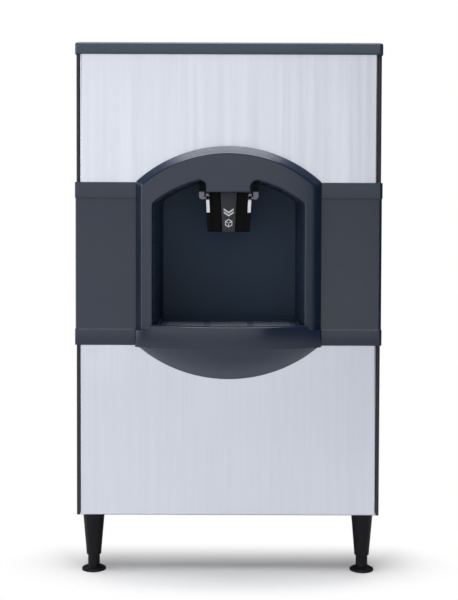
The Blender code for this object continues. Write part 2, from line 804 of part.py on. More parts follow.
def top_trim(cabinet, paint):
    inner_half = TRIM_HALF - TRIM_FLANGE_WIDTH
    back = CABINET_DEPTH + TRIM_OVERHANG
    skirt = TRIM_OVERHANG - GAP
    rings = []

    def ring(inset, z, corner):
        outline = rounded_rectangle(TRIM_HALF - inset, inset - TRIM_OVERHANG, back - inset, corner)
        rings.append(at_level(outline, z))

    ring(0, TRIM_BOTTOM, TRIM_CORNER_RADIUS)
    for index in range(ARC_STEPS + 1):
        angle = math.radians(90) * index / ARC_STEPS
        inset = TRIM_EDGE_RADIUS * (1 - math.cos(angle))
        drop = TRIM_EDGE_RADIUS * (1 - math.sin(angle))
        ring(inset, TRIM_TOP - drop, TRIM_CORNER_RADIUS)
    flange_inset = TRIM_HALF - inner_half
    ring(flange_inset, TRIM_TOP, TRIM_CORNER_RADIUS)
    ring(flange_inset, FLANGE_UNDERSIDE, TRIM_CORNER_RADIUS)
    ring(skirt, FLANGE_UNDERSIDE, SIDE_CORNER_RADIUS)
    ring(skirt, TRIM_BOTTOM, SIDE_CORNER_RADIUS)
    return loft("top_trim", rings, cabinet, paint, closed=True, smooth=30)


def band(name, sign, cabinet, paint):
    """Half of the middle band, wrapped round its corner, with a sunk middle."""
    inner = BEZEL_HALF_WIDTH + GAP
    outer = TRIM_HALF
    skin = CABINET_HALF + GAP
    radius = BAND_CORNER_RADIUS
    lower_step = BAND_BOTTOM + BAND_STRIP_HEIGHT
    upper_step = BAND_TOP - BAND_STRIP_HEIGHT
    levels = (
        (BAND_BOTTOM, 0),
        (lower_step, 0),
        (lower_step + BAND_STEP_SLOPE, BAND_RECESS),
        (upper_step - BAND_STEP_SLOPE, BAND_RECESS),
        (upper_step, 0),
        (BAND_TOP, 0),
    )
    rings = []
    for z, sunk in levels:
        front = sunk - BAND_PROUD
        side = outer - sunk / 2
        outline = [(inner, -GAP), (inner, front)]
        outline += arc((side - radius, front + radius), radius, -90, 0)
        outline += [(side, BAND_WRAP), (skin, BAND_WRAP), (skin, -GAP)]
        rings.append(at_level([(sign * x, y) for x, y in outline], z))
    made = loft(name, rings, cabinet, paint, smooth=25)
    pocket = [sign * (inner + MOULDING), sign * (outer - radius - MOULDING)]
    hollow = box(name + "_hollow", (min(pocket), max(pocket)),
                 (BAND_RECESS + MOULDING - BAND_PROUD, OVERRUN),
                 (BAND_BOTTOM + MOULDING, BAND_TOP - MOULDING), cabinet)
    return cut(made, hollow)


# Bezel and alcove

def bulge(x):
    """How far the bezel's face stands in front of the panels."""
    return BEZEL_BULGE - x * x / (BEZEL_BULGE_RADIUS + BEZEL_BULGE_RADIUS)


def bezel_form(name, wall, bottom, back, cabinet, paint=None):
    """Bezel outside, taken inward by a wall, before anything is cut from it."""
    def outline(inset):
        half = BEZEL_HALF_WIDTH - wall - inset
        radius = BEZEL_ARCH_RADIUS - wall - inset
        points = shouldered_arch(half, radius, BEZEL_ARCH_Z, BEZEL_SHOULDER_RADIUS)
        return [(-half, bottom)] + points + [(half, bottom)]

    over = BEZEL_EDGE_DEPTH / 2
    base = outline(0)
    narrow = outline(BEZEL_EDGE_INSET * (BEZEL_EDGE_DEPTH + over) / BEZEL_EDGE_DEPTH)
    clear_front = -(BEZEL_BULGE + BEZEL_EDGE_DEPTH + over)
    rings = [
        [(x, back, z) for x, z in base],
        [(x, BEZEL_EDGE_DEPTH + wall - bulge(x), z) for x, z in base],
        [(nx, wall - bulge(x) - over, nz) for (x, z), (nx, nz) in zip(base, narrow)],
        [(x, clear_front, z) for x, z in narrow],
    ]
    form = loft(name, rings, cabinet, paint, smooth=25)
    half = BEZEL_HALF_WIDTH + OVERRUN
    face = [(half, back + OVERRUN), (-half, back + OVERRUN)]
    face += [(x, wall - bulge(x)) for x in spread(half, ARCH_STEPS)]
    top = BAND_TOP + BEZEL_ARCH_RISE + OVERRUN
    return keep_inside(form, plan_prism(name + "_face", face, bottom - OVERRUN, top, cabinet))


def alcove_opening(grow, bottom):
    """Front outline of the alcove's mouth with the tongue hanging into it."""
    half = ALCOVE_HALF_WIDTH + grow
    radius = ALCOVE_ARCH_RADIUS + grow
    shoulder = ALCOVE_SHOULDER_RADIUS + grow
    tongue = TONGUE_HALF_WIDTH - grow
    corner = TONGUE_CORNER_RADIUS + grow
    arch = shouldered_arch(half, radius, ALCOVE_ARCH_Z, shoulder)
    corner_x = tongue + corner
    corner_z = ALCOVE_ARCH_Z + math.sqrt((radius - corner) ** 2 - corner_x ** 2)
    lean = math.degrees(math.atan2(corner_z - ALCOVE_ARCH_Z, corner_x))
    touch_x = radius * math.cos(math.radians(lean))
    left = [point for point in arch if point[0] < -touch_x]
    left += arc((-corner_x, corner_z), corner, 180 - lean, 0)
    left.append((-tongue, TONGUE_BOTTOM - grow))
    right = [(-x, z) for x, z in reversed(left)]
    return [(-half, bottom)] + left + right + [(half, bottom)]


def bezel(cabinet, paint):
    made = bezel_form("dispensing_bezel", 0, BEZEL_BOTTOM, -GAP, cabinet, paint)
    deep = BEZEL_BULGE + OVERRUN
    pocket = bezel_form("bezel_pocket", MOULDING, BEZEL_BOTTOM + MOULDING, OVERRUN, cabinet)
    core = front_prism("bezel_core", alcove_opening(MOULDING, BEZEL_BOTTOM - OVERRUN), -deep,
                       OVERRUN + OVERRUN, cabinet)
    cut(pocket, core)
    cut(made, pocket)
    mouth = front_prism("bezel_mouth", alcove_opening(0, BEZEL_BOTTOM - OVERRUN), -deep, OVERRUN,
                        cabinet)
    return cut(made, mouth)


def liner_ring(y, grow):
    """Section of the alcove, whose side walls lean in toward its back wall."""
    share = (y - LINER_FRONT_Y) / (LINER_BACK_Y - LINER_FRONT_Y)
    half = ALCOVE_HALF_WIDTH + grow - ALCOVE_DRAFT * share
    radius = ALCOVE_ARCH_RADIUS + grow
    points = shouldered_arch(half, radius, ALCOVE_ARCH_Z, ALCOVE_SHOULDER_RADIUS)
    low = SILL_Z - MOULDING
    return [(x, y, z) for x, z in [(-half, low)] + points + [(half, low)]]


def alcove_liner(cabinet, paint):
    outer = [liner_ring(LINER_FRONT_Y, MOULDING), liner_ring(LINER_BACK_Y + MOULDING, MOULDING)]
    inner = [liner_ring(LINER_BACK_Y, 0), liner_ring(LINER_FRONT_Y, 0)]
    liner = shell("alcove_liner", outer, inner, cabinet, paint, smooth=30)
    half = ALCOVE_HALF_WIDTH + OVERRUN
    cut(liner, box("liner_foot_cut", (-half, half), (-OVERRUN, LINER_BACK_Y + OVERRUN),
                   (SILL_Z - OVERRUN, SILL_Z + GAP), cabinet))
    return cut(liner, throat_cutter("liner_throat_hole", cabinet))


def ceiling_height(x):
    """Underside of the alcove's ceiling."""
    return ALCOVE_ARCH_Z + math.sqrt(ALCOVE_ARCH_RADIUS ** 2 - x ** 2)


# Sink and grille

def sink_reach(x):
    """How far the sink's bowed front stands in front of the panels."""
    return SINK_REACH - SINK_PLAN_RADIUS + math.sqrt(SINK_PLAN_RADIUS ** 2 - x ** 2)


def lens_bottom(x):
    """Lowest edge of the sink's underside where it meets the lower panel."""
    half = BEZEL_HALF_WIDTH
    radius = (half ** 2 + SINK_LENS_DROP ** 2) / (SINK_LENS_DROP + SINK_LENS_DROP)
    return BAND_BOTTOM - SINK_LENS_DROP + radius - math.sqrt(max(radius ** 2 - x ** 2, 0))


def sink_section(x, wall, top):
    """One (y, z) slice of the sink's nose."""
    front = wall - sink_reach(x)
    low = lens_bottom(x) + wall
    crease = BAND_BOTTOM + wall
    edge = SINK_EDGE_RADIUS
    points = [(-GAP, top)] if wall == 0 else [(OVERRUN, top)]
    points += [(y, z) for y, z in arc((front + edge, top - edge), edge, 90, 180, ARC_STEPS)]
    points.append((front, crease))
    for step in range(1, ARC_STEPS):
        share = step / ARC_STEPS
        swell = SINK_LENS_BULGE * math.sin(math.pi * share) * (crease - low) / SINK_LENS_DROP
        points.append((front * (1 - share) - swell / 2, crease + (low - crease) * share - swell / 2))
    points.append((-GAP, low))
    if wall != 0:
        points.append((OVERRUN, low))
    return points


def sink_nose(name, wall, top, cabinet, paint=None):
    half = BEZEL_HALF_WIDTH - wall
    rings = []
    for x in spread(half, ARCH_STEPS):
        rings.append([(x, y, z) for y, z in sink_section(x, wall, top)])
    return loft(name, rings, cabinet, paint, smooth=25)


def cavity_outline(half, ledge, back):
    """Plan of the sink's cavity, bowed at the front like its nose."""
    points = [(half, back), (-half, back)]
    points += [(x, ledge - sink_reach(x)) for x in spread(half, ARCH_STEPS // 2)]
    return points


def sink(cabinet, paint):
    basin = sink_nose("sink_basin", 0, SILL_Z, cabinet, paint)
    half = SINK_CAVITY_HALF_WIDTH + SINK_RIM_WIDTH
    fuse(basin, box("sink_tub", (-half, half), (-SINK_LEDGE, TUB_BACK_Y), (TUB_BOTTOM, SILL_Z),
                    cabinet))
    cut(basin, sink_nose("sink_nose_hollow", SINK_WALL, TUB_BOTTOM, cabinet))
    cavity_half = SINK_CAVITY_HALF_WIDTH
    back = LINER_BACK_Y - SINK_WALL
    opening = cavity_outline(cavity_half, SINK_LEDGE, back)
    cut(basin, plan_prism("sink_cavity", opening, SEAT_Z, SILL_Z + OVERRUN, cabinet))
    sump = cavity_outline(cavity_half - GRILLE_SEAT, SINK_LEDGE + GRILLE_SEAT, back - GRILLE_SEAT)
    cut(basin, plan_prism("sink_sump", sump, SUMP_Z, SILL_Z, cabinet))
    hole = turned("sink_drain_hole", post(DRAIN_BORE_RADIUS, OVERRUN), (0, SINK_DRAIN_Y, TUB_BOTTOM),
                  cabinet, segments=SMALL_SEGMENTS)
    return cut(basin, hole)


def drip_grille(cabinet, paint):
    """Slotted tray that lifts out of the sink."""
    back = LINER_BACK_Y - SINK_WALL - GAP
    half = SINK_CAVITY_HALF_WIDTH - GAP
    ledge = SINK_LEDGE + GAP
    middle = (0, (back - SINK_REACH) / 2, GRILLE_BOTTOM)
    holder = group("grille_lift_axis", middle, cabinet)
    plate = plan_prism("drip_grille", cavity_outline(half, ledge, back), GRILLE_BOTTOM, GRILLE_TOP,
                       holder, paint)
    front = GRILLE_BORDER - sink_front_inside(half)
    rows = int((back - GRILLE_BORDER - front) / GRILLE_SLOT_PITCH)
    column = (half + half - GRILLE_BORDER) / GRILLE_COLUMNS
    slot_half = (column - GRILLE_BORDER) / 2
    for row in range(rows):
        y = front + row * GRILLE_SLOT_PITCH
        for index in range(GRILLE_COLUMNS):
            x = (index - (GRILLE_COLUMNS - 1) / 2) * column
            slot = box(f"grille_slot_{row}_{index}", (x - slot_half, x + slot_half),
                       (y, y + GRILLE_SLOT_WIDTH), (GRILLE_BOTTOM - OVERRUN, GRILLE_TOP + OVERRUN),
                       cabinet)
            cut(plate, slot)
    for sign in (-1, 1):
        x = sign * GRILLE_NOTCH_SPACING / 2
        edge = ledge - sink_reach(x)
        notch = box(f"grille_notch_{sign + 1}", (x - GRILLE_NOTCH_WIDTH / 2, x + GRILLE_NOTCH_WIDTH / 2),
                    (edge - OVERRUN, edge + GRILLE_NOTCH_DEPTH),
                    (GRILLE_BOTTOM - OVERRUN, GRILLE_TOP + OVERRUN), cabinet)
        cut(plate, notch)
    return plate


def sink_front_inside(x):
    """Distance of the cavity's front edge in front of the panels."""
    return sink_reach(x) - SINK_LEDGE


# Ice bin

def bin_deck(cabinet, paint):
    """Steel deck under the insulation, with flanges against the side panels."""
    y_span = (BASE_FRONT_Y, BASE_BACK_Y)
    deck = box("bin_deck", (-BASE_HALF, BASE_HALF), y_span, (DECK_TOP - DECK_FLANGE, DECK_TOP),
               cabinet, paint)
    inner = BASE_HALF - DECK_SHEET
    cut(deck, box("bin_deck_under", (-inner, inner), (-OVERRUN, CABINET_DEPTH + OVERRUN),
                  (DECK_TOP - DECK_FLANGE - OVERRUN, DECK_BOTTOM), cabinet))
    return cut_bin_passages(deck, "deck", DECK_BOTTOM, cabinet)


def cut_bin_passages(piece, name, z, cabinet):
    """Openings for the throat, the drive shaft and the bin drain."""
    cut(piece, throat_cutter(name + "_throat_hole", cabinet))
    shaft = turned(name + "_shaft_hole", post(SHAFT_RADIUS + SHAFT_FIT, FOAM_FLOOR + OVERRUN),
                   (0, WHEEL_Y, z), cabinet, segments=SMALL_SEGMENTS)
    cut(piece, shaft)
    drain = turned(name + "_drain_hole", post(DRAIN_RADIUS + DRAIN_FIT, FOAM_FLOOR + OVERRUN),
                   (BIN_DRAIN_X, BIN_DRAIN_Y, z), cabinet, segments=SMALL_SEGMENTS)
    return cut(piece, drain)


def bin_insulation(cabinet, paint):
    wall = BIN_WALL + GAP
    half = BIN_HALF_WIDTH + wall
    outer_corner = BIN_CORNER_RADIUS + wall

    def ring(grow, z):
        outline = rounded_rectangle(half + grow, BIN_FRONT_Y - wall - grow, BIN_BACK_Y + wall + grow,
                                    outer_corner)
        return at_level(outline, z)

    outer = [ring(FOAM_SIDE, FOAM_TOP), ring(FOAM_SIDE, FOAM_BOTTOM)]
    inner = [ring(0, BIN_BOTTOM - GAP), ring(0, FOAM_TOP)]
    jacket = shell("bin_insulation", outer, inner, cabinet, paint)
    return cut_bin_passages(jacket, "foam", FOAM_BOTTOM, cabinet)


def bin_liner(cabinet, paint):
    def ring(grow, z):
        outline = rounded_rectangle(BIN_HALF_WIDTH + grow, BIN_FRONT_Y - grow, BIN_BACK_Y + grow,
                                    BIN_CORNER_RADIUS + grow)
        return at_level(outline, z)

    outer = [ring(BIN_RIM_WIDTH, BIN_TOP), ring(BIN_RIM_WIDTH, BIN_TOP - BIN_WALL),
             ring(BIN_WALL, BIN_TOP - BIN_WALL), ring(BIN_WALL, BIN_BOTTOM)]
    inner = [ring(0, BIN_FLOOR), ring(0, BIN_TOP)]
    tub = shell("bin_liner", outer, inner, cabinet, paint, smooth=30)
    return cut_bin_passages(tub, "bin", BIN_BOTTOM, cabinet)


def bin_gasket(cabinet, paint):
    rings = []
    low = BIN_TOP + GAP
    high = FLANGE_UNDERSIDE - GAP
    for grow, z in ((GASKET_WIDTH, low), (GASKET_WIDTH, high), (0, high), (0, low)):
        start = BIN_WALL + grow
        outline = rounded_rectangle(BIN_HALF_WIDTH + start, BIN_FRONT_Y - start, BIN_BACK_Y + start,
                                    BIN_CORNER_RADIUS + start)
        rings.append(at_level(outline, z))
    return loft("bin_gasket", rings, cabinet, paint, closed=True)


def hopper_turns():
    return [math.tau * (index + 1 / 2) / HOPPER_STEPS for index in range(HOPPER_STEPS)]


def hopper_circle(radius, z):
    """Ring of points around the shaft."""
    return [(radius * math.cos(turn), WHEEL_Y + radius * math.sin(turn), z)
            for turn in hopper_turns()]


def hopper_edge(z):
    """Ring of points where the slopes meet the bin's walls."""
    ring = []
    for turn in hopper_turns():
        dx = math.cos(turn)
        dy = math.sin(turn)
        side_room = BIN_HALF_WIDTH / abs(dx)
        end_room = (BIN_BACK_Y - WHEEL_Y if dy > 0 else WHEEL_Y - BIN_FRONT_Y) / abs(dy)
        reach = min(side_room, end_room)
        ring.append((dx * reach, WHEEL_Y + dy * reach, z))
    return ring


def hopper_collar(cabinet, paint):
    """Round wall in which the wheel turns."""
    low = BIN_FLOOR + GAP
    high = BIN_FLOOR + HOPPER_COLLAR
    outer = HOPPER_RADIUS + HOPPER_WALL
    corners = [(HOPPER_RADIUS, high), (HOPPER_RADIUS, low), (outer, low), (outer, high)]
    rings = [hopper_circle(radius, z) for radius, z in corners]
    return loft("hopper_collar", rings, cabinet, paint, closed=True, smooth=25)


def hopper_slope(name, side, cabinet, paint):
    """One half of the slopes that lead ice from the bin's walls down to the collar."""
    top = BIN_FLOOR + HOPPER_RISE
    foot = BIN_FLOOR + HOPPER_COLLAR + GAP
    rings = [
        hopper_edge(top),
        hopper_circle(HOPPER_RADIUS, foot + HOPPER_WALL),
        hopper_circle(HOPPER_RADIUS, foot),
        hopper_circle(HOPPER_RADIUS + HOPPER_WALL, foot),
        hopper_edge(top - HOPPER_WALL),
    ]
    made = loft(name, rings, cabinet, paint, closed=True, smooth=25)
    radius = BIN_CORNER_RADIUS
    corner_x = BIN_HALF_WIDTH - GAP - radius
    half = arc((corner_x, BIN_FRONT_Y + GAP + radius), radius, -90, 0)
    half += arc((corner_x, BIN_BACK_Y - GAP - radius), radius, 0, 90)
    half += [(GAP / 2, BIN_BACK_Y - GAP), (GAP / 2, BIN_FRONT_Y + GAP)]
    outline = [(side * x, y) for x, y in half]
    limit = plan_prism(name + "_limit", outline, BIN_FLOOR - OVERRUN, top + OVERRUN, cabinet)
    return keep_inside(made, limit)


def port_baffle(cabinet, paint):
    """Plate over the port that keeps loose ice from falling straight through."""
    radius = HOPPER_RADIUS * math.cos(math.pi / HOPPER_STEPS) - GAP
    half_angle = math.degrees(BAFFLE_HALF_ANGLE)
    outline = arc((0, WHEEL_Y), radius, -90 - half_angle, -90 + half_angle, ARCH_STEPS // 2)
    edge = radius * math.sin(BAFFLE_HALF_ANGLE)
    chord_y = WHEEL_Y - radius + BAFFLE_REACH
    outline += [(edge, chord_y), (-edge, chord_y)]
    return plan_prism("port_baffle", outline, BAFFLE_BOTTOM, BAFFLE_BOTTOM + BAFFLE_SHEET, cabinet,
                      paint)


def paddle_wheel(holder, cabinet, paint):
    centre = (0, WHEEL_Y, 0)
    wheel = turned("paddle_wheel", [(HUB_RADIUS, WHEEL_BOTTOM), (HUB_RADIUS, PADDLE_TOP)], centre,
                   holder, paint)
    for index in range(PADDLE_COUNT // 2):
        angle = math.pi * (index + index + 1) / PADDLE_COUNT
        along = Vector((math.cos(angle), math.sin(angle)))
        across = Vector((-along.y, along.x)) * PADDLE_THICKNESS / 2
        reach = along * WHEEL_RADIUS
        middle = Vector((0, WHEEL_Y))
        corners = [middle + reach + across, middle - reach + across,
                   middle - reach - across, middle + reach - across]
        blade = plan_prism(f"paddle_pair_{index}", [tuple(corner) for corner in corners],
                           WHEEL_BOTTOM, PADDLE_TOP, cabinet)
        fuse(wheel, blade)
    bore = turned("wheel_bore", post(SHAFT_RADIUS + GAP, PADDLE_HEIGHT + OVERRUN),
                  (0, WHEEL_Y, WHEEL_BOTTOM), cabinet, segments=SMALL_SEGMENTS)
    return cut(wheel, bore)


def agitator(holder, cabinet, paint):
    """Collar with two arms that stir the ice above the wheel."""
    collar = turned("agitator_bar",
                    [(AGITATOR_COLLAR_RADIUS, AGITATOR_BOTTOM), (AGITATOR_COLLAR_RADIUS, AGITATOR_TOP)],
                    (0, WHEEL_Y, 0), holder, paint)
    rod = AGITATOR_ROD_RADIUS
    level = (AGITATOR_BOTTOM + AGITATOR_TOP) / 2
    arm = [(rod, -AGITATOR_REACH), (rod, AGITATOR_REACH)]
    fuse(collar, turned("agitator_arm", arm, (0, WHEEL_Y, level), cabinet, axis="X",
                        segments=SMALL_SEGMENTS))
    for sign in (-1, 1):
        x = sign * (AGITATOR_REACH - rod - rod)
        top = level + AGITATOR_UPTURN
        fuse(collar, turned(f"agitator_end_{sign + 1}", [(rod, level), (rod, top)], (x, WHEEL_Y, 0),
                            cabinet, segments=SMALL_SEGMENTS))
    bore = turned("agitator_bore", post(SHAFT_RADIUS + GAP, AGITATOR_COLLAR_HEIGHT + OVERRUN),
                  (0, WHEEL_Y, level), cabinet, segments=SMALL_SEGMENTS)
    return cut(collar, bore)


def hub_nut(holder, cabinet, paint):
    profile = [(HUB_NUT_RADIUS, NUT_BOTTOM), (HUB_NUT_RADIUS, NUT_BOTTOM + HUB_NUT_HEIGHT / 2),
               (HUB_NUT_RADIUS / 2, NUT_BOTTOM + HUB_NUT_HEIGHT)]
    nut = turned("hub_nut", profile, (0, WHEEL_Y, 0), holder, paint)
    depth = HUB_NUT_HEIGHT / 2
    bore = turned("hub_nut_bore", [(SHAFT_RADIUS + GAP, NUT_BOTTOM - depth),
                                   (SHAFT_RADIUS + GAP, NUT_BOTTOM + depth)],
                  (0, WHEEL_Y, 0), cabinet, segments=SMALL_SEGMENTS)
    return cut(nut, bore)


def drive_shaft(holder, paint):
    top = NUT_BOTTOM + HUB_NUT_HEIGHT / 2 - GAP
    return turned("drive_shaft", [(SHAFT_RADIUS, SHAFT_BOTTOM), (SHAFT_RADIUS, top)],
                  (0, WHEEL_Y, 0), holder, paint, segments=SMALL_SEGMENTS)


def shaft_seal(cabinet, paint):
    low = BIN_FLOOR + GAP
    return tube("shaft_seal", SEAL_RADIUS, SHAFT_RADIUS + GAP, low, low + SEAL_HEIGHT,
                (0, WHEEL_Y, 0), cabinet, paint)


def gearbox(cabinet, paint):
    half = GEARBOX_SIZE / 2
    body = half - GEARBOX_LIP
    flange = box("gearbox", (-half, half), (WHEEL_Y - half, WHEEL_Y + half),
                 (GEARBOX_TOP - GEARBOX_FLANGE, GEARBOX_TOP), cabinet, paint)
    fuse(flange, box("gearbox_body", (-body, body), (WHEEL_Y - body, WHEEL_Y + body),
                     (GEARBOX_BOTTOM, GEARBOX_TOP - GEARBOX_FLANGE / 2), cabinet))
    bore = turned("gearbox_bore", [(SHAFT_RADIUS + GAP, GEARBOX_TOP - SHAFT_DEPTH_IN_GEARBOX),
                                   (SHAFT_RADIUS + GAP, GEARBOX_TOP + OVERRUN)],
                  (0, WHEEL_Y, 0), cabinet, segments=SMALL_SEGMENTS)
    return cut(flange, bore)


def motor(cabinet, paint):
    top = GEARBOX_BOTTOM - GAP
    bottom = top - MOTOR_LENGTH
    waist = MOTOR_RADIUS - MOTOR_BEVEL / 2
    profile = [
        (MOTOR_RADIUS - MOTOR_BEVEL, bottom),
        (MOTOR_RADIUS, bottom + MOTOR_BEVEL),
        (MOTOR_RADIUS, bottom + MOTOR_BEVEL + MOTOR_VENT_DEPTH),
        (waist, bottom + MOTOR_BEVEL + MOTOR_VENT_DEPTH),
        (waist, top - MOTOR_VENT_DEPTH),
        (MOTOR_RADIUS, top - MOTOR_VENT_DEPTH),
        (MOTOR_RADIUS, top),
    ]
    return turned("gear_motor", profile, (0, WHEEL_Y, 0), cabinet, paint)


# Throat and chute

def throat_ring(z, grow):
    """Plan of the slanting throat at one level."""
    share = (THROAT_TOP - z) / (THROAT_TOP - THROAT_BOTTOM)
    middle = THROAT_TOP_Y + (THROAT_OUTLET_Y - THROAT_TOP_Y) * share
    x = THROAT_HALF_WIDTH + grow
    y = THROAT_LENGTH / 2 + grow
    return [(-x, middle - y, z), (x, middle - y, z), (x, middle + y, z), (-x, middle + y, z)]


def throat_cutter(name, cabinet):
    rings = [throat_ring(THROAT_TOP + OVERRUN, GAP), throat_ring(THROAT_BOTTOM - OVERRUN, GAP)]
    return loft(name, rings, cabinet)


def throat(cabinet, paint):
    flange_top = THROAT_TOP + THROAT_WALL
    rings = [
        throat_ring(THROAT_BOTTOM, 0),
        throat_ring(THROAT_TOP, 0),
        throat_ring(THROAT_TOP, THROAT_FLANGE),
        [(x, y, flange_top) for x, y, z in throat_ring(THROAT_TOP, THROAT_FLANGE)],
        [(x, y, flange_top) for x, y, z in throat_ring(THROAT_TOP, -THROAT_WALL)],
        throat_ring(THROAT_BOTTOM, -THROAT_WALL),
    ]
    return loft("ice_throat", rings, cabinet, paint, closed=True)


def chute_outline(half):
    """Plan of the chute: side cheeks, and a front wall set back between them."""
    front = CHUTE_FRONT_Y
    lip = half - CHUTE_FLANGE
    inner = half - CHUTE_WALL
    right = [
        (half, CHUTE_BACK_Y), (half, front), (lip, front), (lip, front + CHUTE_WALL),
        (inner, front + CHUTE_WALL), (inner, front + CHUTE_RECESS),
    ]
    left = [(-x, y) for x, y in reversed(right)]
    return right + left


def chute_shell(holder, cabinet, paint):
    rings = [at_level(chute_outline(CHUTE_BOTTOM_HALF_WIDTH), CHUTE_BOTTOM),
             at_level(chute_outline(CHUTE_TOP_HALF_WIDTH), CHUTE_TOP)]
    body = loft("chute_shell", rings, holder, paint)
    inner_front = CHUTE_FRONT_Y + CHUTE_RECESS + CHUTE_WALL
    inner_back = CHUTE_BACK_Y - CHUTE_WALL

    def duct(half, z):
        x = half - CHUTE_WALL - CHUTE_WALL
        return [(-x, inner_front, z), (x, inner_front, z), (x, inner_back, z), (-x, inner_back, z)]

    taper = (CHUTE_TOP_HALF_WIDTH - CHUTE_BOTTOM_HALF_WIDTH) * OVERRUN / CHUTE_HEIGHT
    bore = loft("chute_bore", [duct(CHUTE_BOTTOM_HALF_WIDTH - taper, CHUTE_BOTTOM - OVERRUN),
                               duct(CHUTE_TOP_HALF_WIDTH + taper, CHUTE_TOP + OVERRUN)], cabinet)
    return cut(body, bore)


def chute_label(holder, paint):
    front = CHUTE_FRONT_Y
    back = CHUTE_FRONT_Y + CHUTE_RECESS - GAP
    top = TONGUE_BOTTOM
    rings = []
    for half, z in ((LABEL_BOTTOM_HALF_WIDTH, CHUTE_BOTTOM), (LABEL_TOP_HALF_WIDTH, top)):
        rings.append([(-half, front, z), (half, front, z), (half, back, z), (-half, back, z)])
    return loft("chute_label_plate", rings, holder, paint)


def chute_half_width(z):
    share = (z - CHUTE_BOTTOM) / CHUTE_HEIGHT
    return CHUTE_BOTTOM_HALF_WIDTH + (CHUTE_TOP_HALF_WIDTH - CHUTE_BOTTOM_HALF_WIDTH) * share


def chute_strap(name, sign, holder, paint):
    """Bright strap on the front of a cheek."""
    top = CHUTE_TOP - STRAP_DROP
    bottom = top - STRAP_LENGTH
    back = CHUTE_FRONT_Y - GAP
    front = back - STRAP_THICKNESS
    rings = []
    for z in (bottom, top):
        outer = sign * (chute_half_width(z) - GAP)
        inner = sign * (chute_half_width(z) - STRAP_WIDTH)
        rings.append([(outer, front, z), (inner, front, z), (inner, back, z), (outer, back, z)])
    return loft(name, rings, holder, paint)


def chute_pin(name, sign, holder, paint):
    start = sign * (chute_half_width(CHUTE_PIVOT_Z) + GAP)
    end = sign * (EAR_OUTER - EAR_CLEARANCE)
    return turned(name, [(PIN_RADIUS, min(start, end)), (PIN_RADIUS, max(start, end))],
                  (0, CHUTE_PIVOT_Y, CHUTE_PIVOT_Z), holder, paint, axis="X", segments=SMALL_SEGMENTS)


def hanger_ear(name, sign, cabinet, paint):
    """Ear under the ceiling that the chute's pin turns in."""
    front = CHUTE_PIVOT_Y - EAR_LENGTH / 2
    back = CHUTE_PIVOT_Y + EAR_LENGTH / 2
    bottom = CHUTE_TOP - EAR_HEIGHT
    radius = EAR_CORNER_RADIUS
    corner = arc((EAR_OUTER - radius, bottom + radius), radius, -90, 0)
    outline = [(EAR_INNER, bottom)] + corner + [(EAR_OUTER, CHUTE_TOP), (EAR_INNER, CHUTE_TOP)]
    outline = [(sign * x, z) for x, z in outline]
    ear = front_prism(name, outline, front, back, cabinet, paint)
    stem_front = CHUTE_PIVOT_Y
    stem_top = ceiling_height(EAR_OUTER) - GAP
    stem = sorted((sign * EAR_INNER, sign * EAR_OUTER))
    fuse(ear, box(name + "_stem", stem, (stem_front, back), (CHUTE_TOP - radius, stem_top), cabinet))
    near = sign * (EAR_INNER - OVERRUN)
    far = sign * (EAR_OUTER - EAR_CLEARANCE + GAP)
    socket = [(PIN_RADIUS + PIN_FIT, min(near, far)), (PIN_RADIUS + PIN_FIT, max(near, far))]
    return cut(ear, turned(name + "_socket", socket, (0, CHUTE_PIVOT_Y, CHUTE_PIVOT_Z), cabinet,
                           axis="X", segments=SMALL_SEGMENTS))


def chute_magnet(holder, paint):
    front = CHUTE_BACK_Y + GAP
    top = CHUTE_TOP - MAGNET_DROP
    return box("chute_magnet", (-MAGNET_WIDTH / 2, MAGNET_WIDTH / 2),
               (front, front + MAGNET_THICKNESS), (top - MAGNET_HEIGHT, top), holder, paint)


def proximity_switch(cabinet, paint):
    """Sensor on a bracket behind the chute, hung from the alcove's ceiling."""
    front = CHUTE_BACK_Y + GAP + MAGNET_THICKNESS + SWITCH_GAP
    back = front + SWITCH_LENGTH
    middle = CHUTE_TOP - MAGNET_DROP - MAGNET_HEIGHT / 2
    half = SWITCH_WIDTH / 2
    sensor = box("proximity_switch", (-half, half), (front, back),
                 (middle - SWITCH_HEIGHT / 2, middle + SWITCH_HEIGHT / 2), cabinet, paint)
    stem_top = ceiling_height(half / 2) - GAP
    return fuse(sensor, box("switch_bracket", (-half / 2, half / 2), (back - MOULDING, back),
                            (middle, stem_top), cabinet))


# Service compartment

def control_box(cabinet, paint):
    """Sheet metal box, open toward the front, on the back panel."""
    case = box("control_box", (BOX_LEFT, BOX_RIGHT), (BOX_FRONT_Y, BOX_BACK_Y), (BOX_BOTTOM, BOX_TOP),
               cabinet, paint)
    wall = BOX_SHEET
    cut(case, box("control_box_inside", (BOX_LEFT + wall, BOX_RIGHT - wall),
                  (BOX_FRONT_Y - OVERRUN, BOX_BACK_Y - wall), (BOX_BOTTOM + wall, BOX_TOP - wall),
                  cabinet))
    hole = turned("box_gland_hole", post(GLAND_RADIUS + GLAND_FIT, OVERRUN), gland_centre(),
                  cabinet, axis="Y", segments=SMALL_SEGMENTS)
    return cut(case, hole)


def switch_centre():
    x = BOX_RIGHT - ROCKER_WIDTH - ROCKER_WIDTH
    z = BOX_TOP - ROCKER_HEIGHT - ROCKER_FRAME
    return x, z


def control_box_cover(cabinet, paint):
    back = BOX_FRONT_Y - GAP
    cover = box("control_box_cover", (BOX_LEFT, BOX_RIGHT), (back - BOX_SHEET, back),
                (BOX_BOTTOM, BOX_TOP), cabinet, paint)
    x, z = switch_centre()
    half_x = ROCKER_WIDTH / 2 + ROCKER_FRAME + GAP
    half_z = ROCKER_HEIGHT / 2 + ROCKER_FRAME + GAP
    return cut(cover, box("cover_switch_hole", (x - half_x, x + half_x),
                          (back - OVERRUN, back + OVERRUN), (z - half_z, z + half_z), cabinet))


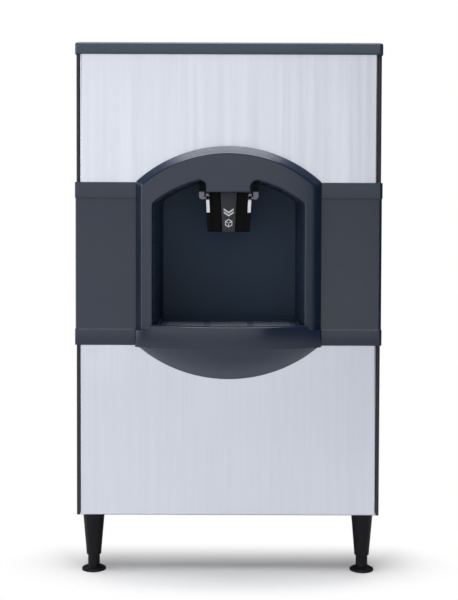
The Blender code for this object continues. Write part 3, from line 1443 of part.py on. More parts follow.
def switch_frame(cabinet, paint):
    """Bezel and body of the power switch, clipped through the cover."""
    x, z = switch_centre()
    half_x = ROCKER_WIDTH / 2 + ROCKER_FRAME
    half_z = ROCKER_HEIGHT / 2 + ROCKER_FRAME
    face = BOX_FRONT_Y - GAP - BOX_SHEET
    lip_back = face - GAP
    lip_front = lip_back - ROCKER_PROUD / 2
    body = box("switch_frame", (x - half_x, x + half_x), (lip_front, face + ROCKER_DEPTH),
               (z - half_z, z + half_z), cabinet, paint)
    lip = ROCKER_FRAME / 2
    fuse(body, box("switch_lip", (x - half_x - lip, x + half_x + lip), (lip_front, lip_back),
                   (z - half_z - lip, z + half_z + lip), cabinet))
    well_x = ROCKER_WIDTH / 2
    well_z = ROCKER_HEIGHT / 2
    return cut(body, box("switch_well", (x - well_x, x + well_x),
                         (lip_front - OVERRUN, face + ROCKER_DEPTH - MOULDING),
                         (z - well_z, z + well_z), cabinet))


def switch_rocker(cabinet, paint):
    """Rocker that tips about a level axis inside its frame."""
    x, z = switch_centre()
    face = BOX_FRONT_Y - GAP - BOX_SHEET
    axis_y = face + ROCKER_PROUD
    holder = group("rocker_axis", (x, axis_y, z), cabinet)
    half_x = ROCKER_WIDTH / 2 - GAP
    reach = ROCKER_HEIGHT / 2 - ROCKER_FIT - ROCKER_FIT
    front = face - ROCKER_PROUD
    outline = [
        (front - ROCKER_PROUD / 2, z - reach), (front + ROCKER_PROUD / 2, z),
        (front + ROCKER_PROUD / 2, z + reach), (axis_y, z + reach),
        (axis_y + ROCKER_PROUD, z), (axis_y, z - reach),
    ]
    rings = [[(side, y, height) for y, height in outline] for side in (x - half_x, x + half_x)]
    return loft("switch_rocker", rings, holder, paint)


def circuit_board(cabinet, paint):
    x = BOX_LEFT + BOX_SHEET + STANDOFF_RADIUS + BOARD_WIDTH / 2
    z = BOX_TOP - BOX_SHEET - STANDOFF_RADIUS - BOARD_HEIGHT / 2
    mount = BOX_BACK_Y - BOX_SHEET - GAP
    back = mount - STANDOFF_LENGTH
    board = box("circuit_board", (x - BOARD_WIDTH / 2, x + BOARD_WIDTH / 2),
                (back - BOARD_THICKNESS, back), (z - BOARD_HEIGHT / 2, z + BOARD_HEIGHT / 2),
                cabinet, paint)
    edge = STANDOFF_RADIUS + STANDOFF_RADIUS
    for index, (x_sign, z_sign) in enumerate(((-1, -1), (1, -1), (1, 1), (-1, 1))):
        spot = (x + x_sign * (BOARD_WIDTH / 2 - edge), 0, z + z_sign * (BOARD_HEIGHT / 2 - edge))
        fuse(board, turned(f"standoff_{index}", [(STANDOFF_RADIUS, back - BOARD_THICKNESS / 2),
                                                 (STANDOFF_RADIUS, mount)], spot, cabinet, axis="Y",
                           segments=SMALL_SEGMENTS // 2))
    return board


def transformer(cabinet, paint):
    left = BOX_RIGHT - BOX_SHEET - TRANSFORMER_WIDTH - TRANSFORMER_WIDTH / 4
    bottom = BOX_BOTTOM + BOX_SHEET + GAP
    middle = BOX_BACK_Y - BOX_DEPTH / 2
    half = TRANSFORMER_DEPTH / 2
    core = box("transformer", (left, left + TRANSFORMER_WIDTH), (middle - half / 2, middle + half / 2),
               (bottom, bottom + TRANSFORMER_HEIGHT), cabinet, paint)
    window = TRANSFORMER_WIDTH / 6
    return fuse(core, box("transformer_coil", (left + window, left + TRANSFORMER_WIDTH - window),
                          (middle - half, middle + half),
                          (bottom + window, bottom + TRANSFORMER_HEIGHT - window), cabinet))


def relay(cabinet, paint):
    left = BOX_LEFT + BOX_SHEET + RELAY_WIDTH
    bottom = BOX_BOTTOM + BOX_SHEET + GAP
    middle = BOX_BACK_Y - BOX_DEPTH / 2
    return box("power_relay", (left, left + RELAY_WIDTH),
               (middle - RELAY_DEPTH / 2, middle + RELAY_DEPTH / 2), (bottom, bottom + RELAY_HEIGHT),
               cabinet, paint)


def gland_centre():
    x = BOX_RIGHT - TRANSFORMER_WIDTH / 2
    z = BOX_TOP - GLAND_FLANGE_RADIUS - GLAND_FLANGE_RADIUS
    return x, BACK_INNER_Y, z


def cord_gland(cabinet, paint):
    """Bushing through the back panel and the box for the supply cord."""
    x, y, z = gland_centre()
    face = BACK_OUTER_Y + GAP - y
    tail = BOX_BACK_Y - BOX_SHEET - GLAND_TAIL - y
    corners = [
        (GLAND_FLANGE_RADIUS, face + GLAND_FLANGE), (GLAND_FLANGE_RADIUS, face), (GLAND_RADIUS, face),
        (GLAND_RADIUS, tail), (GLAND_BORE_RADIUS, tail), (GLAND_BORE_RADIUS, face + GLAND_FLANGE),
    ]
    return pipe("cord_gland", corners, (x, y, z), cabinet, paint, axis="Y")


def drain_pipe(name, x, y, flange_bottom, cabinet, paint):
    """Pipe with a flange at its head, down through the base."""
    head = flange_bottom + DRAIN_FLANGE
    foot_z = BASE_BOTTOM - DRAIN_BELOW_BASE
    corners = [
        (DRAIN_RADIUS, foot_z), (DRAIN_RADIUS, flange_bottom), (DRAIN_FLANGE_RADIUS, flange_bottom),
        (DRAIN_FLANGE_RADIUS, head), (DRAIN_BORE_RADIUS, head), (DRAIN_BORE_RADIUS, foot_z),
    ]
    return pipe(name, corners, (x, y, 0), cabinet, paint)


def strainer(cabinet, paint):
    """Slotted disc that keeps ice out of the bin drain, low enough for the wheel."""
    low = BIN_FLOOR + GAP + DRAIN_FLANGE + GAP
    high = low + STRAINER_HEIGHT
    disc = turned("drain_strainer", [(DRAIN_FLANGE_RADIUS, low), (DRAIN_FLANGE_RADIUS, high)],
                  (BIN_DRAIN_X, BIN_DRAIN_Y, 0), cabinet, paint, segments=SMALL_SEGMENTS)
    slot = STRAINER_SLOT_WIDTH / 2
    reach = DRAIN_BORE_RADIUS - STRAINER_SLOT_WIDTH
    for index in (-1, 0, 1):
        x = BIN_DRAIN_X + index * DRAIN_BORE_RADIUS / 2
        cut(disc, box(f"strainer_slot_{index + 1}", (x - slot, x + slot),
                      (BIN_DRAIN_Y - reach, BIN_DRAIN_Y + reach), (low - OVERRUN, high + OVERRUN),
                      cabinet))
    return disc


# Assembly

def clear_scene():
    for item in list(bpy.data.objects):
        bpy.data.objects.remove(item)


def build_shell(cabinet):
    base_frame(cabinet, galvanised())
    for name, x, y in leg_places():
        leg(name, x, y, cabinet, leg_black())
        foot(name, x, y, cabinet, leg_black())
    side_panel("side_panel_left", -1, cabinet, side_paint())
    side_panel("side_panel_right", 1, cabinet, side_paint())
    back_panel(cabinet, galvanised())
    upper_front_panel(cabinet, stainless())
    lower_front_panel(cabinet, stainless())
    front_frame(cabinet, galvanised())
    top_trim(cabinet, charcoal())
    band("band_left", -1, cabinet, charcoal())
    band("band_right", 1, cabinet, charcoal())


def build_alcove(cabinet):
    bezel(cabinet, charcoal())
    alcove_liner(cabinet, charcoal())
    sink(cabinet, charcoal())
    drip_grille(cabinet, charcoal())


def build_bin(cabinet):
    bin_deck(cabinet, galvanised())
    bin_insulation(cabinet, foam())
    bin_liner(cabinet, bin_plastic())
    bin_gasket(cabinet, rubber())
    hopper_collar(cabinet, bin_plastic())
    hopper_slope("hopper_slope_left", -1, cabinet, bin_plastic())
    hopper_slope("hopper_slope_right", 1, cabinet, bin_plastic())
    port_baffle(cabinet, satin_steel())
    strainer(cabinet, bin_plastic())


def build_drive(cabinet):
    spin = group("wheel_axis", (0, WHEEL_Y, WHEEL_BOTTOM), cabinet)
    paddle_wheel(spin, cabinet, wheel_plastic())
    agitator(spin, cabinet, satin_steel())
    hub_nut(spin, cabinet, satin_steel())
    drive_shaft(spin, satin_steel())
    shaft_seal(cabinet, rubber())
    gearbox(cabinet, cast_housing())
    motor(cabinet, motor_paint())


def build_chute(cabinet):
    throat(cabinet, bin_plastic())
    rock = group("chute_axis", (0, CHUTE_PIVOT_Y, CHUTE_PIVOT_Z), cabinet)
    chute_shell(rock, cabinet, chute_black())
    chute_label(rock, label_grey())
    for name, sign in (("left", -1), ("right", 1)):
        chute_strap("chute_strap_" + name, sign, rock, satin_steel())
        chute_pin("chute_pin_" + name, sign, rock, satin_steel())
        hanger_ear("hanger_ear_" + name, sign, cabinet, charcoal())
    chute_magnet(rock, transformer_steel())
    proximity_switch(cabinet, rubber())


def build_service(cabinet):
    control_box(cabinet, galvanised())
    control_box_cover(cabinet, galvanised())
    switch_frame(cabinet, leg_black())
    switch_rocker(cabinet, leg_black())
    circuit_board(cabinet, board_green())
    transformer(cabinet, transformer_steel())
    relay(cabinet, relay_clear())
    cord_gland(cabinet, leg_black())
    drain_pipe("sink_drain", 0, SINK_DRAIN_Y, TUB_BOTTOM - GAP - DRAIN_FLANGE, cabinet,
               drain_plastic())
    drain_pipe("bin_drain", BIN_DRAIN_X, BIN_DRAIN_Y, BIN_FLOOR + GAP, cabinet, drain_plastic())


def main():
    clear_scene()
    cabinet = group("cabinet", (0, FRONT_WORLD_Y, 0))
    build_shell(cabinet)
    build_alcove(cabinet)
    build_bin(cabinet)
    build_drive(cabinet)
    build_chute(cabinet)
    build_service(cabinet)


main()
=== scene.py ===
"""Dresses the hotel ice dispenser: bent steel panels, charcoal mouldings, rocking chute, legs."""

import json
import math

import bmesh
import bpy
from bpy.props import FloatProperty, FloatVectorProperty, IntProperty, PointerProperty
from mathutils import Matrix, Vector


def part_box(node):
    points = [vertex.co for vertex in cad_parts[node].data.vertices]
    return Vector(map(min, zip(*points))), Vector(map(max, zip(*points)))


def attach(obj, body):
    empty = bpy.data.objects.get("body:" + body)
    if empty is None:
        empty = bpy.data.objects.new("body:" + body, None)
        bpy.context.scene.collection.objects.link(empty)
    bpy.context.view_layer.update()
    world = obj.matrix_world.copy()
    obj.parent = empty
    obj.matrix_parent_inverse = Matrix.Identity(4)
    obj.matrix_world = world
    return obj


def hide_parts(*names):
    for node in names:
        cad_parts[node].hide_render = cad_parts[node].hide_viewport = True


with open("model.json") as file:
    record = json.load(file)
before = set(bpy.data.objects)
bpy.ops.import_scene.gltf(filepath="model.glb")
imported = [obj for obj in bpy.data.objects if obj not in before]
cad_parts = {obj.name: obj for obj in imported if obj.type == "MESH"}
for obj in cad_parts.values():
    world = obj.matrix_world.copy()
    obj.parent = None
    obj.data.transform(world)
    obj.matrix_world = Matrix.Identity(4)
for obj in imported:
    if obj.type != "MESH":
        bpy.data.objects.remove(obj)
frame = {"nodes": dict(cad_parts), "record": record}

bl_info = {
    "name": "Hotel ice dispenser",
    "version": (1, 0, 0),
    "blender": (4, 5, 0),
    "location": "View3D > Sidebar > Ice dispenser",
    "description": "Makes the skins, mouldings, chute and legs of a hotel ice dispenser",
    "category": "Object",
}


# Measures taken from the frame. Depths count back from the face of the front panels.

def low(node):
    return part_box(node)[0]


def high(node):
    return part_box(node)[1]


def middle(node):
    """Centre of a solid's box."""
    return [(first + last) / 2 for first, last in zip(low(node), high(node))]


FACE = low("lower_front_panel").y


def fore(node):
    """Depth of a solid's front."""
    return low(node).y - FACE


def aft(node):
    """Depth of a solid's back."""
    return high(node).y - FACE


def depths(node):
    return fore(node), aft(node)


def levels(node):
    return low(node).z, high(node).z


def x_span(node):
    """How far a solid's sides are from the middle plane, the nearer one first."""
    return sorted((abs(low(node).x), abs(high(node).x)))


GAP = 0.0003  # between neighbouring pieces
WELD = 1e-6  # points as close as this are one
OVERRUN = 0.030  # how far a cutter runs past what it cuts
SHEET = 0.0015  # thickness of the panels' sheet
MOULDING = 0.003  # wall of the plastic pieces
EDGE_BREAK = 0.0003  # on the edges of sheet and of hems
SIDES = (("left", -1), ("right", 1))
LEGS = ("front_left", "front_right", "rear_left", "rear_right")
CABINET_HALF = high("side_panel_right").x
SIDE_FRONT, CABINET_DEPTH = depths("side_panel_right")
SIDE_TOP = high("side_panel_right").z
PANEL_HALF = high("lower_front_panel").x
PANEL_BACK = aft("lower_front_panel")
BODY_LOW, LOWER_PANEL_TOP = levels("lower_front_panel")
UPPER_PANEL_LOW, UPPER_PANEL_TOP = levels("upper_front_panel")
BAND_LOW, BAND_TOP = levels("band_left")
BAND_PROUD = -fore("band_left")
BAND_WRAP = aft("band_left")
TRIM_HALF = high("top_trim").x
TRIM_FRONT, TRIM_BACK = depths("top_trim")
TRIM_LOW, TRIM_TOP = levels("top_trim")
FLANGE_UNDERSIDE = TRIM_TOP - MOULDING
BEZEL_HALF = high("dispensing_bezel").x
BEZEL_TOP = high("dispensing_bezel").z
BEZEL_BULGE = -fore("dispensing_bezel")
LINER_FRONT = fore("alcove_liner")
LINER_BACK = aft("alcove_liner") - MOULDING
ALCOVE_HALF = high("alcove_liner").x - MOULDING
ALCOVE_TOP = high("alcove_liner").z - MOULDING
LENS_LOW, SILL = levels("sink_basin")
LENS_DROP = BAND_LOW - LENS_LOW
SINK_REACH = -fore("sink_basin")
TUB_BACK = aft("sink_basin")
GRILLE_HALF = high("drip_grille").x
GRILLE_BACK = aft("drip_grille")
GRILLE_LOW, GRILLE_TOP = levels("drip_grille")
CAVITY_HALF = GRILLE_HALF + GAP
CHUTE_HALF = high("chute_shell").x
CHUTE_FRONT, CHUTE_BACK = depths("chute_shell")
CHUTE_LOW, CHUTE_TOP = levels("chute_shell")
LABEL_TOP = high("chute_label_plate").z
PIVOT_DEPTH = middle("chute_pin_left")[1] - FACE
PIVOT_Z = middle("chute_pin_left")[2]

# Measures chosen for the pieces made here.
GROOVE_Z = 0.918  # line across the alcove's back wall
POST_LOW = SILL - 0.012  # where the bezel's posts end
FOOT_SPREAD = 0.012  # how far the posts' feet turn outward
GRILLE_COLUMNS = 3
CHUTE_WALL = 0.003
CHUTE_TAPER = 0.005  # how much narrower each side is at the bottom
CHUTE_RECESS = 0.018  # depth of the channel that the label plate fills


def rgb(red, green, blue):
    """Screen colour, 0 to 255, as the linear colour that a shader takes."""
    def linear(value):
        share = value / 255
        return share / 12.92 if share <= 0.04045 else ((share + 0.055) / 1.055) ** 2.4
    return (linear(red), linear(green), linear(blue))


def number(label, text, default, **kind):
    return FloatProperty(name=label, description=text, default=default, **kind)


def length(label, text, default):
    return number(label, text, default, unit="LENGTH", min=0)


def colour(label, text, default):
    return FloatVectorProperty(name=label, description=text, default=rgb(*default),
                               subtype="COLOR", size=3, min=0, max=1)


class CabinetSizes(bpy.types.PropertyGroup):
    panel_bend: length("Panel bend", "Radius of the front panels' bent edges", 0.006)
    trim_edge: length("Trim edge", "Radius along the top of the top trim", 0.006)
    trim_corner: length("Trim corner", "Radius of the top trim's corners", 0.010)
    trim_flange: length("Trim flange", "Width of the flange round the bin's mouth", 0.058)
    side_strip: length("Side strip", "Width of the side panel's front return", 0.0087)
    band_strip: length("Band strip", "Height of the band's raised top and bottom strips", 0.0395)
    band_recess: length("Band recess", "Depth of the band's sunk middle", 0.0025)
    band_corner: length("Band corner", "Radius where the band wraps round the cabinet", 0.008)
    foot_rim: length("Foot rim", "Height of the foot's rim", 0.006)


class MouldingSizes(bpy.types.PropertyGroup):
    arch_radius: length("Bezel arch", "Radius of the bezel's arched top", 0.347)
    shoulder: length("Bezel shoulder", "Radius where the arch meets the sides", 0.012)
    chamfer: length("Chamfer", "Width of the chamfer round the bezel's face", 0.018)
    chamfer_depth: length("Chamfer depth", "Depth of the chamfer round the bezel's face", 0.025)
    bulge_radius: length("Bulge", "Radius of the bezel's bowed face in plan", 1.36)
    lip: length("Mouth lip", "Radius round the alcove's mouth", 0.0035)
    alcove_arch: length("Alcove arch", "Radius of the alcove's arched ceiling", 0.300)
    alcove_shoulder: length("Alcove shoulder", "Radius of the alcove's upper corners", 0.010)
    alcove_draft: length("Alcove draft", "How much the alcove narrows to its back wall", 0.010)
    tongue_half: length("Tongue", "Half the width of the tongue above the chute", 0.055)
    tongue_corner: length("Tongue corner", "Radius beside the tongue", 0.016)
    sink_plan: length("Sink bow", "Radius of the sink's bowed front in plan", 0.450)
    sink_end: length("Sink end", "Radius at the ends of the sink's front", 0.008)
    sink_ledge: length("Sink ledge", "Width of the ledge in front of the grille", 0.026)
    slot_width: length("Grille slot", "Width of one slot in the drip grille", 0.008)
    slot_pitch: length("Slot pitch", "Distance from one slot to the next", 0.0165)
    smoothness: IntProperty(name="Smoothness", description="Steps along each large curve",
                            default=40, min=12, max=96)


class FinishColours(bpy.types.PropertyGroup):
    stainless: colour("Stainless", "Brushed steel of the front panels", (212, 216, 226))
    moulding: colour("Moulding", "Charcoal plastic of band, bezel and sink", (24, 35, 53))
    # The top trim is the same charcoal plastic as the band; its lighter colour here is painted
    # light, for the stronger light near the cabinet's top.
    trim: colour("Top trim", "Plastic of the top trim", (42, 55, 72))
    liner: colour("Alcove liner", "Matt plastic inside the alcove", (48, 66, 88))
    # The grille is a lighter grey plastic. Its colour is raised further as painted light, for light
    # falling into the alcove onto its top.
    grille: colour("Grille", "Plastic of the drip grille", (104, 114, 128))
    side_paint: colour("Side paint", "Paint of the side panels", (31, 33, 40))
    leg: colour("Leg", "Legs and feet", (18, 17, 23))
    chute: colour("Chute", "Gloss plastic of the chute", (6, 6, 9))
    label: colour("Label plate", "Plate on the chute's front", (18, 23, 42))
    printing: colour("Printing", "Ink of the push sign", (226, 228, 232))
    steel: colour("Bright steel", "Straps, shaft and nut", (196, 199, 204))
    galvanised: colour("Galvanised", "Back panel, base and inner sheets", (150, 155, 160))
    bin_plastic: colour("Bin plastic", "Liner and hopper of the ice bin", (184, 188, 191))


class StageSizes(bpy.types.PropertyGroup):
    camera_distance: length("Camera distance", "From the camera to the front panels", 3.02)
    camera_height: length("Camera height", "Height of the camera over the floor", 0.92)
    camera_side: number("Camera side", "Camera's place across", 0.024, unit="LENGTH")
    camera_pitch: number("Camera pitch", "How far the camera looks down", math.radians(2),
                         subtype="ANGLE")
    camera_roll: number("Camera roll", "How far the camera leans over", math.radians(0.2),
                        subtype="ANGLE")
    lens: number("Lens", "Focal length in millimetres", 72.50)
    top_light: number("Top light", "Power of the light overhead", 110, unit="POWER")
    back_light: number("Back light", "Power of the light over the back", 54, unit="POWER")
    front_light: number("Front light", "Power of the light in front", 109, unit="POWER")
    left_light: number("Left light", "Power of the light on the left", 40, unit="POWER")


# Meshes

def finish_mesh(name, bm, paint, smooth=35):
    """Close a bmesh and link it to the scene as one object, moved to where the cabinet stands."""
    bmesh.ops.remove_doubles(bm, verts=bm.verts, dist=WELD)
    bmesh.ops.recalc_face_normals(bm, faces=bm.faces)
    bmesh.ops.translate(bm, vec=(0, FACE, 0), verts=bm.verts)
    mesh = bpy.data.meshes.new(name)
    bm.to_mesh(mesh)
    bm.free()
    if paint is not None:
        mesh.materials.append(paint)
    mesh.shade_smooth()
    mesh.set_sharp_from_angle(angle=math.radians(smooth))
    made = bpy.data.objects.new(name, mesh)
    bpy.context.scene.collection.objects.link(made)
    return made


def bridge(bm, first, second, closed=True):
    count = len(first)
    for index in range(count if closed else count - 1):
        following = (index + 1) % count
        bm.faces.new((first[index], first[following], second[following], second[index]))


def add_loft(bm, rings, ring_closed=True, chain_closed=False):
    """Skin through point rings. Open chains are capped, closed chains of open rings get ends."""
    made = [[bm.verts.new(point) for point in ring] for ring in rings]
    pairs = list(zip(made, made[1:]))
    if chain_closed:
        pairs.append((made[-1], made[0]))
    for first, second in pairs:
        bridge(bm, first, second, ring_closed)
    if not chain_closed:
        bm.faces.new(made[0])
        bm.faces.new(made[-1])
    if not ring_closed:
        bm.faces.new([ring[0] for ring in made])
        bm.faces.new([ring[-1] for ring in made])
    return bm


def loft(name, rings, paint=None, smooth=35, **closing):
    return finish_mesh(name, add_loft(bmesh.new(), rings, **closing), paint, smooth)


def double_skin(name, skins, paint):
    """Pan whose outer and inner skins, each a chain of rings, meet at the rim."""
    bm = bmesh.new()
    chains = [[[bm.verts.new(point) for point in ring] for ring in rings] for rings in skins]
    for chain in chains:
        for first, second in zip(chain, chain[1:]):
            bridge(bm, first, second)
        bm.faces.new(chain[-1])
    bridge(bm, chains[0][0], chains[1][0])
    return finish_mesh(name, bm, paint, smooth=30)


def plan_prism(name, outline, bottom, top, paint=None, smooth=35):
    return loft(name, [[(x, y, z) for x, y in outline] for z in (bottom, top)], paint, smooth)


def front_prism(name, outline, front, back, paint=None, smooth=35):
    return loft(name, [[(x, y, z) for x, z in outline] for y in (front, back)], paint, smooth)


def block(name, x_span, y_span, z_span, paint=None):
    (left, right), (front, back) = x_span, y_span
    outline = [(left, front), (right, front), (right, back), (left, back)]
    return plan_prism(name, outline, z_span[0], z_span[1], paint)


def carve(piece, others, operation="DIFFERENCE", smooth=35):
    """Take the other forms out of a piece, or join them to it, and drop them."""
    for other in others:
        step = piece.modifiers.new("carve", "BOOLEAN")
        step.operation = operation
        step.solver = "EXACT"
        step.object = other
    graph = bpy.context.evaluated_depsgraph_get()
    mesh = bpy.data.meshes.new_from_object(piece.evaluated_get(graph))
    piece.modifiers.clear()
    piece.data = mesh
    for other in others:
        bpy.data.objects.remove(other)
    mesh.shade_smooth()
    mesh.set_sharp_from_angle(angle=math.radians(smooth))
    return piece


def soften(piece, width, segments=2, angle=40):
    """Break the sharp edges of a piece."""
    step = piece.modifiers.new("edge break", "BEVEL")
    step.width = width
    step.segments = segments
    step.limit_method = "ANGLE"
    step.angle_limit = math.radians(angle)
    step.harden_normals = True
    step.use_clamp_overlap = True
    return piece


def settle(piece, body, slot, *nodes):
    """Hang a piece on its body and hide the solids it stands for. The name of its finish, slot, is
    not used.
    """
    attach(piece, body)
    if nodes:
        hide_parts(*nodes)
    return piece


def arc(centre, radius, start, end, steps=8):
    """Points along an arc, in degrees, both ends included."""
    points = []
    for index in range(steps + 1):
        angle = math.radians(start + (end - start) * index / steps)
        points.append((centre[0] + radius * math.cos(angle), centre[1] + radius * math.sin(angle)))
    return points


def spread(start, end, steps):
    """Evenly spaced values, both ends included."""
    return [start + (end - start) * index / steps for index in range(steps + 1)]


def rounded_path(points, radii, steps=5):
    """A path with its inner corners turned through curves."""
    points = [Vector(point) for point in points]
    path = [points[0]]
    for before, corner, after, radius in zip(points, points[1:], points[2:], radii):
        start = corner + (before - corner).normalized() * radius
        end = corner + (after - corner).normalized() * radius
        for share in spread(0, 1, steps):
            first = start.lerp(corner, share)
            second = corner.lerp(end, share)
            path.append(first.lerp(second, share))
    path.append(points[-1])
    return [tuple(point) for point in path]


def rounded_rectangle(x_half, front, back, radius, steps=8):
    corners = ((x_half - radius, front + radius), (x_half - radius, back - radius),
               (radius - x_half, back - radius), (radius - x_half, front + radius))
    return [point for corner, start in zip(corners, (-90, 0, 90, 180))
            for point in arc(corner, radius, start, start + 90, steps)]


def at_level(outline, z):
    return [(x, y, z) for x, y in outline]


def circle(radius, count):
    """Points round a circle about the origin."""
    turns = [math.tau * index / count for index in range(count)]
    return [(radius * math.cos(turn), radius * math.sin(turn)) for turn in turns]


def quarter(steps):
    """Steps of a quarter turn of radius 1: how far it has come, and how far it has to go."""
    turns = [math.radians(angle) for angle in spread(0, 90, steps)]
    return [(1 - math.cos(turn), 1 - math.sin(turn)) for turn in turns]


def turned(name, profile, centre, paint=None, axis="Z", segments=48, smooth=35):
    """Revolve (radius, height) points about an axis through the centre."""
    order = {"Z": (0, 1, 2), "Y": (0, 2, 1), "X": (2, 0, 1)}[axis]
    rings = []
    for radius, height in profile:
        spots = [(*point, height) for point in circle(radius, segments)]
        rings.append([Vector(centre) + Vector([spot[index] for index in order])
                      for spot in spots])
    return loft(name, rings, paint, smooth)


# Finishes

class Tree:
    """Node tree with short calls to add nodes and feed them values or other nodes' outputs."""

    def __init__(self, owner):
        owner.use_nodes = True
        self.nodes = owner.node_tree.nodes
        self.links = owner.node_tree.links

    def feed(self, node, feeds):
        for socket, value in feeds.items():
            if isinstance(value, bpy.types.NodeSocket):
                self.links.new(value, node.inputs[socket])
            else:
                node.inputs[socket].default_value = value

    def add(self, kind, feeds=None, output=None, **settings):
        """New node, or the named output of it."""
        node = self.nodes.new("ShaderNode" + kind)
        for name, value in settings.items():
            setattr(node, name, value)
        self.feed(node, feeds or {})
        return node if output is None else node.outputs[output]

    def blend_out(self, share, first, second, target):
        mix = self.add("MixShader", {"Fac": share, 1: first, 2: second}, "Shader")
        self.feed(self.nodes[target], {"Surface": mix})


# Sockets of a mix of two colours.
MIX_SHARE, MIX_FIRST, MIX_SECOND, MIX_RESULT = 0, 6, 7, 2


class Finish(Tree):
    """Material whose calls each add to the colour, sheen or relief so far."""

    def __init__(self, name, base, roughness, metallic=0.0, specular=0.5):
        self.material = bpy.data.materials.new(name)
        super().__init__(self.material)
        self.base = tuple(base)
        self.colour = (*self.base, 1)
        self.relief = None
        self.shader = self.nodes["Principled BSDF"]
        self.feed(self.shader, {"Base Color": self.colour, "Roughness": roughness,
                                "Metallic": metallic, "Specular IOR Level": specular})
        self.place = self.add("TexCoord", output="Object")

    def noise(self, scale, detail=3.0, stretch=None, roughness=0.5):
        place = self.place
        if stretch:
            place = self.add("Mapping", {"Vector": place, "Scale": stretch}, "Vector")
        return self.add("TexNoise", {"Scale": scale, "Detail": detail, "Roughness": roughness,
                                     "Vector": place}, "Fac")

    def cells(self, scale, feature="F1", output="Distance"):
        return self.add("TexVoronoi", {"Scale": scale, "Vector": self.place}, output,
                        feature=feature)

    def between(self, value, start, end, least, most):
        """Runs from least to most while the value runs from start to end."""
        return self.add("MapRange", {"Value": value, "From Min": start, "From Max": end,
                                     "To Min": least, "To Max": most}, "Result")

    def tint(self, share, factor):
        """Blend the colour so far toward the first one made lighter or darker by a factor."""
        other = (*(min(1.0, part * factor) for part in self.base), 1)
        self.colour = self.add("Mix", {MIX_SHARE: share, MIX_FIRST: self.colour,
                                       MIX_SECOND: other}, MIX_RESULT, data_type="RGBA")
        self.feed(self.shader, {"Base Color": self.colour})

    def shade(self, value, start, end, most, factor):
        self.tint(self.between(value, start, end, 0, most), factor)

    def rub_edges(self, radius, wear, factor):
        """Tint where the surface turns sharply, by a share of wear."""
        soft = self.add("Bevel", {"Radius": radius}, "Normal", samples=6)
        true = self.add("NewGeometry", output="Normal")
        facing = self.add("VectorMath", {0: soft, 1: true}, "Value", operation="DOT_PRODUCT")
        edge = self.between(facing, 0.99, 0.90, 0, 1)
        self.tint(self.add("Math", {0: edge, 1: wear}, "Value", operation="MULTIPLY"), factor)

    def rough(self, value, least, most, start=0.3, end=0.7):
        self.feed(self.shader, {"Roughness": self.between(value, start, end, least, most)})

    def bump(self, height, distance, strength):
        feeds = {"Height": height, "Distance": distance, "Strength": strength}
        if self.relief is not None:
            feeds["Normal"] = self.relief
        self.relief = self.add("Bump", feeds, "Normal")
        self.feed(self.shader, {"Normal": self.relief})


def brushed(name, base, roughness, grain, wave):
    """Steel with a fine upright grain and faint waves in the sheet."""
    steel = Finish(name, base, roughness, metallic=1.0)
    fine = steel.noise(1.0, 2, (grain, grain, grain / 220))
    broad = steel.noise(1.0, 3, (grain / 14, grain / 14, 1.5))
    steel.shade(fine, 0.35, 0.65, 0.16, 0.70)
    steel.shade(broad, 0.40, 0.75, 0.10, 0.80)
    steel.shade(steel.noise(2.3, 4), 0.35, 0.70, 0.12, 1.20)
    steel.rough(broad, roughness - 0.03, roughness + 0.05)
    steel.bump(fine, 0.00002, 0.35)
    steel.bump(steel.noise(2.6, 1), wave, 0.5)
    return steel.material


def moulded(name, base, roughness=0.21, grain=2600, depth=0.00003, specular=0.5):
    """Moulded plastic with a fine leathery skin and rubbed edges."""
    plastic = Finish(name, base, roughness, specular=specular)
    cloud = plastic.noise(5.5, 5)
    dust = plastic.noise(70, 4, roughness=0.65)
    plastic.shade(cloud, 0.35, 0.70, 0.30, 1.22)
    plastic.shade(dust, 0.62, 0.80, 0.25, 1.5)
    plastic.rub_edges(0.0012, plastic.between(dust, 0.35, 0.65, 0.15, 0.6), 1.9)
    plastic.rough(cloud, roughness - 0.04, roughness + 0.07)
    plastic.bump(plastic.cells(grain, "SMOOTH_F1"), depth, 0.5)
    return plastic.material


def painted(name, base, roughness=0.42):
    """Baked paint on sheet steel, with a faint orange-peel skin."""
    paint = Finish(name, base, roughness, specular=0.4)
    rub = paint.noise(38, 5, roughness=0.7)
    paint.shade(paint.noise(3.5, 4), 0.35, 0.70, 0.30, 1.25)
    paint.rub_edges(0.0015, paint.between(rub, 0.45, 0.70, 0, 0.7), 2.4)
    paint.rough(rub, roughness - 0.05, roughness + 0.10)
    paint.bump(paint.noise(420, 2), 0.00006, 0.4)
    return paint.material


def zinc_coated(name, base):
    """Galvanised sheet with its large flat crystals."""
    zinc = Finish(name, base, 0.42, metallic=1.0)
    grey = zinc.add("RGBToBW", {"Color": zinc.cells(85, output="Color")}, "Val")
    zinc.shade(grey, 0.1, 0.9, 0.45, 0.62)
    zinc.shade(zinc.noise(6, 5, roughness=0.6), 0.50, 0.75, 0.35, 1.35)
    zinc.rough(grey, 0.34, 0.52, 0, 1)
    zinc.bump(zinc.noise(240, 2), 0.00004, 0.3)
    return zinc.material


def glossy(name, base, roughness, specular=0.5):
    """Polished plastic with hairline scratches."""
    gloss = Finish(name, base, roughness, specular=specular)
    smear = gloss.noise(26, 5, roughness=0.6)
    gloss.shade(smear, 0.45, 0.75, 0.4, 1.6)
    gloss.rough(smear, roughness - 0.05, roughness + 0.16)
    gloss.bump(gloss.noise(1.0, 2, (60, 60, 1400)), 0.00001, 0.25)
    return gloss.material


def satin(name, base, roughness=0.28):
    """Turned or rolled bright steel."""
    metal = Finish(name, base, roughness, metallic=1.0)
    spots = metal.noise(90, 4)
    metal.shade(spots, 0.50, 0.75, 0.30, 0.70)
    metal.rough(spots, roughness - 0.06, roughness + 0.12)
    metal.bump(metal.noise(1.0, 2, (300, 300, 2600)), 0.00001, 0.35)
    return metal.material


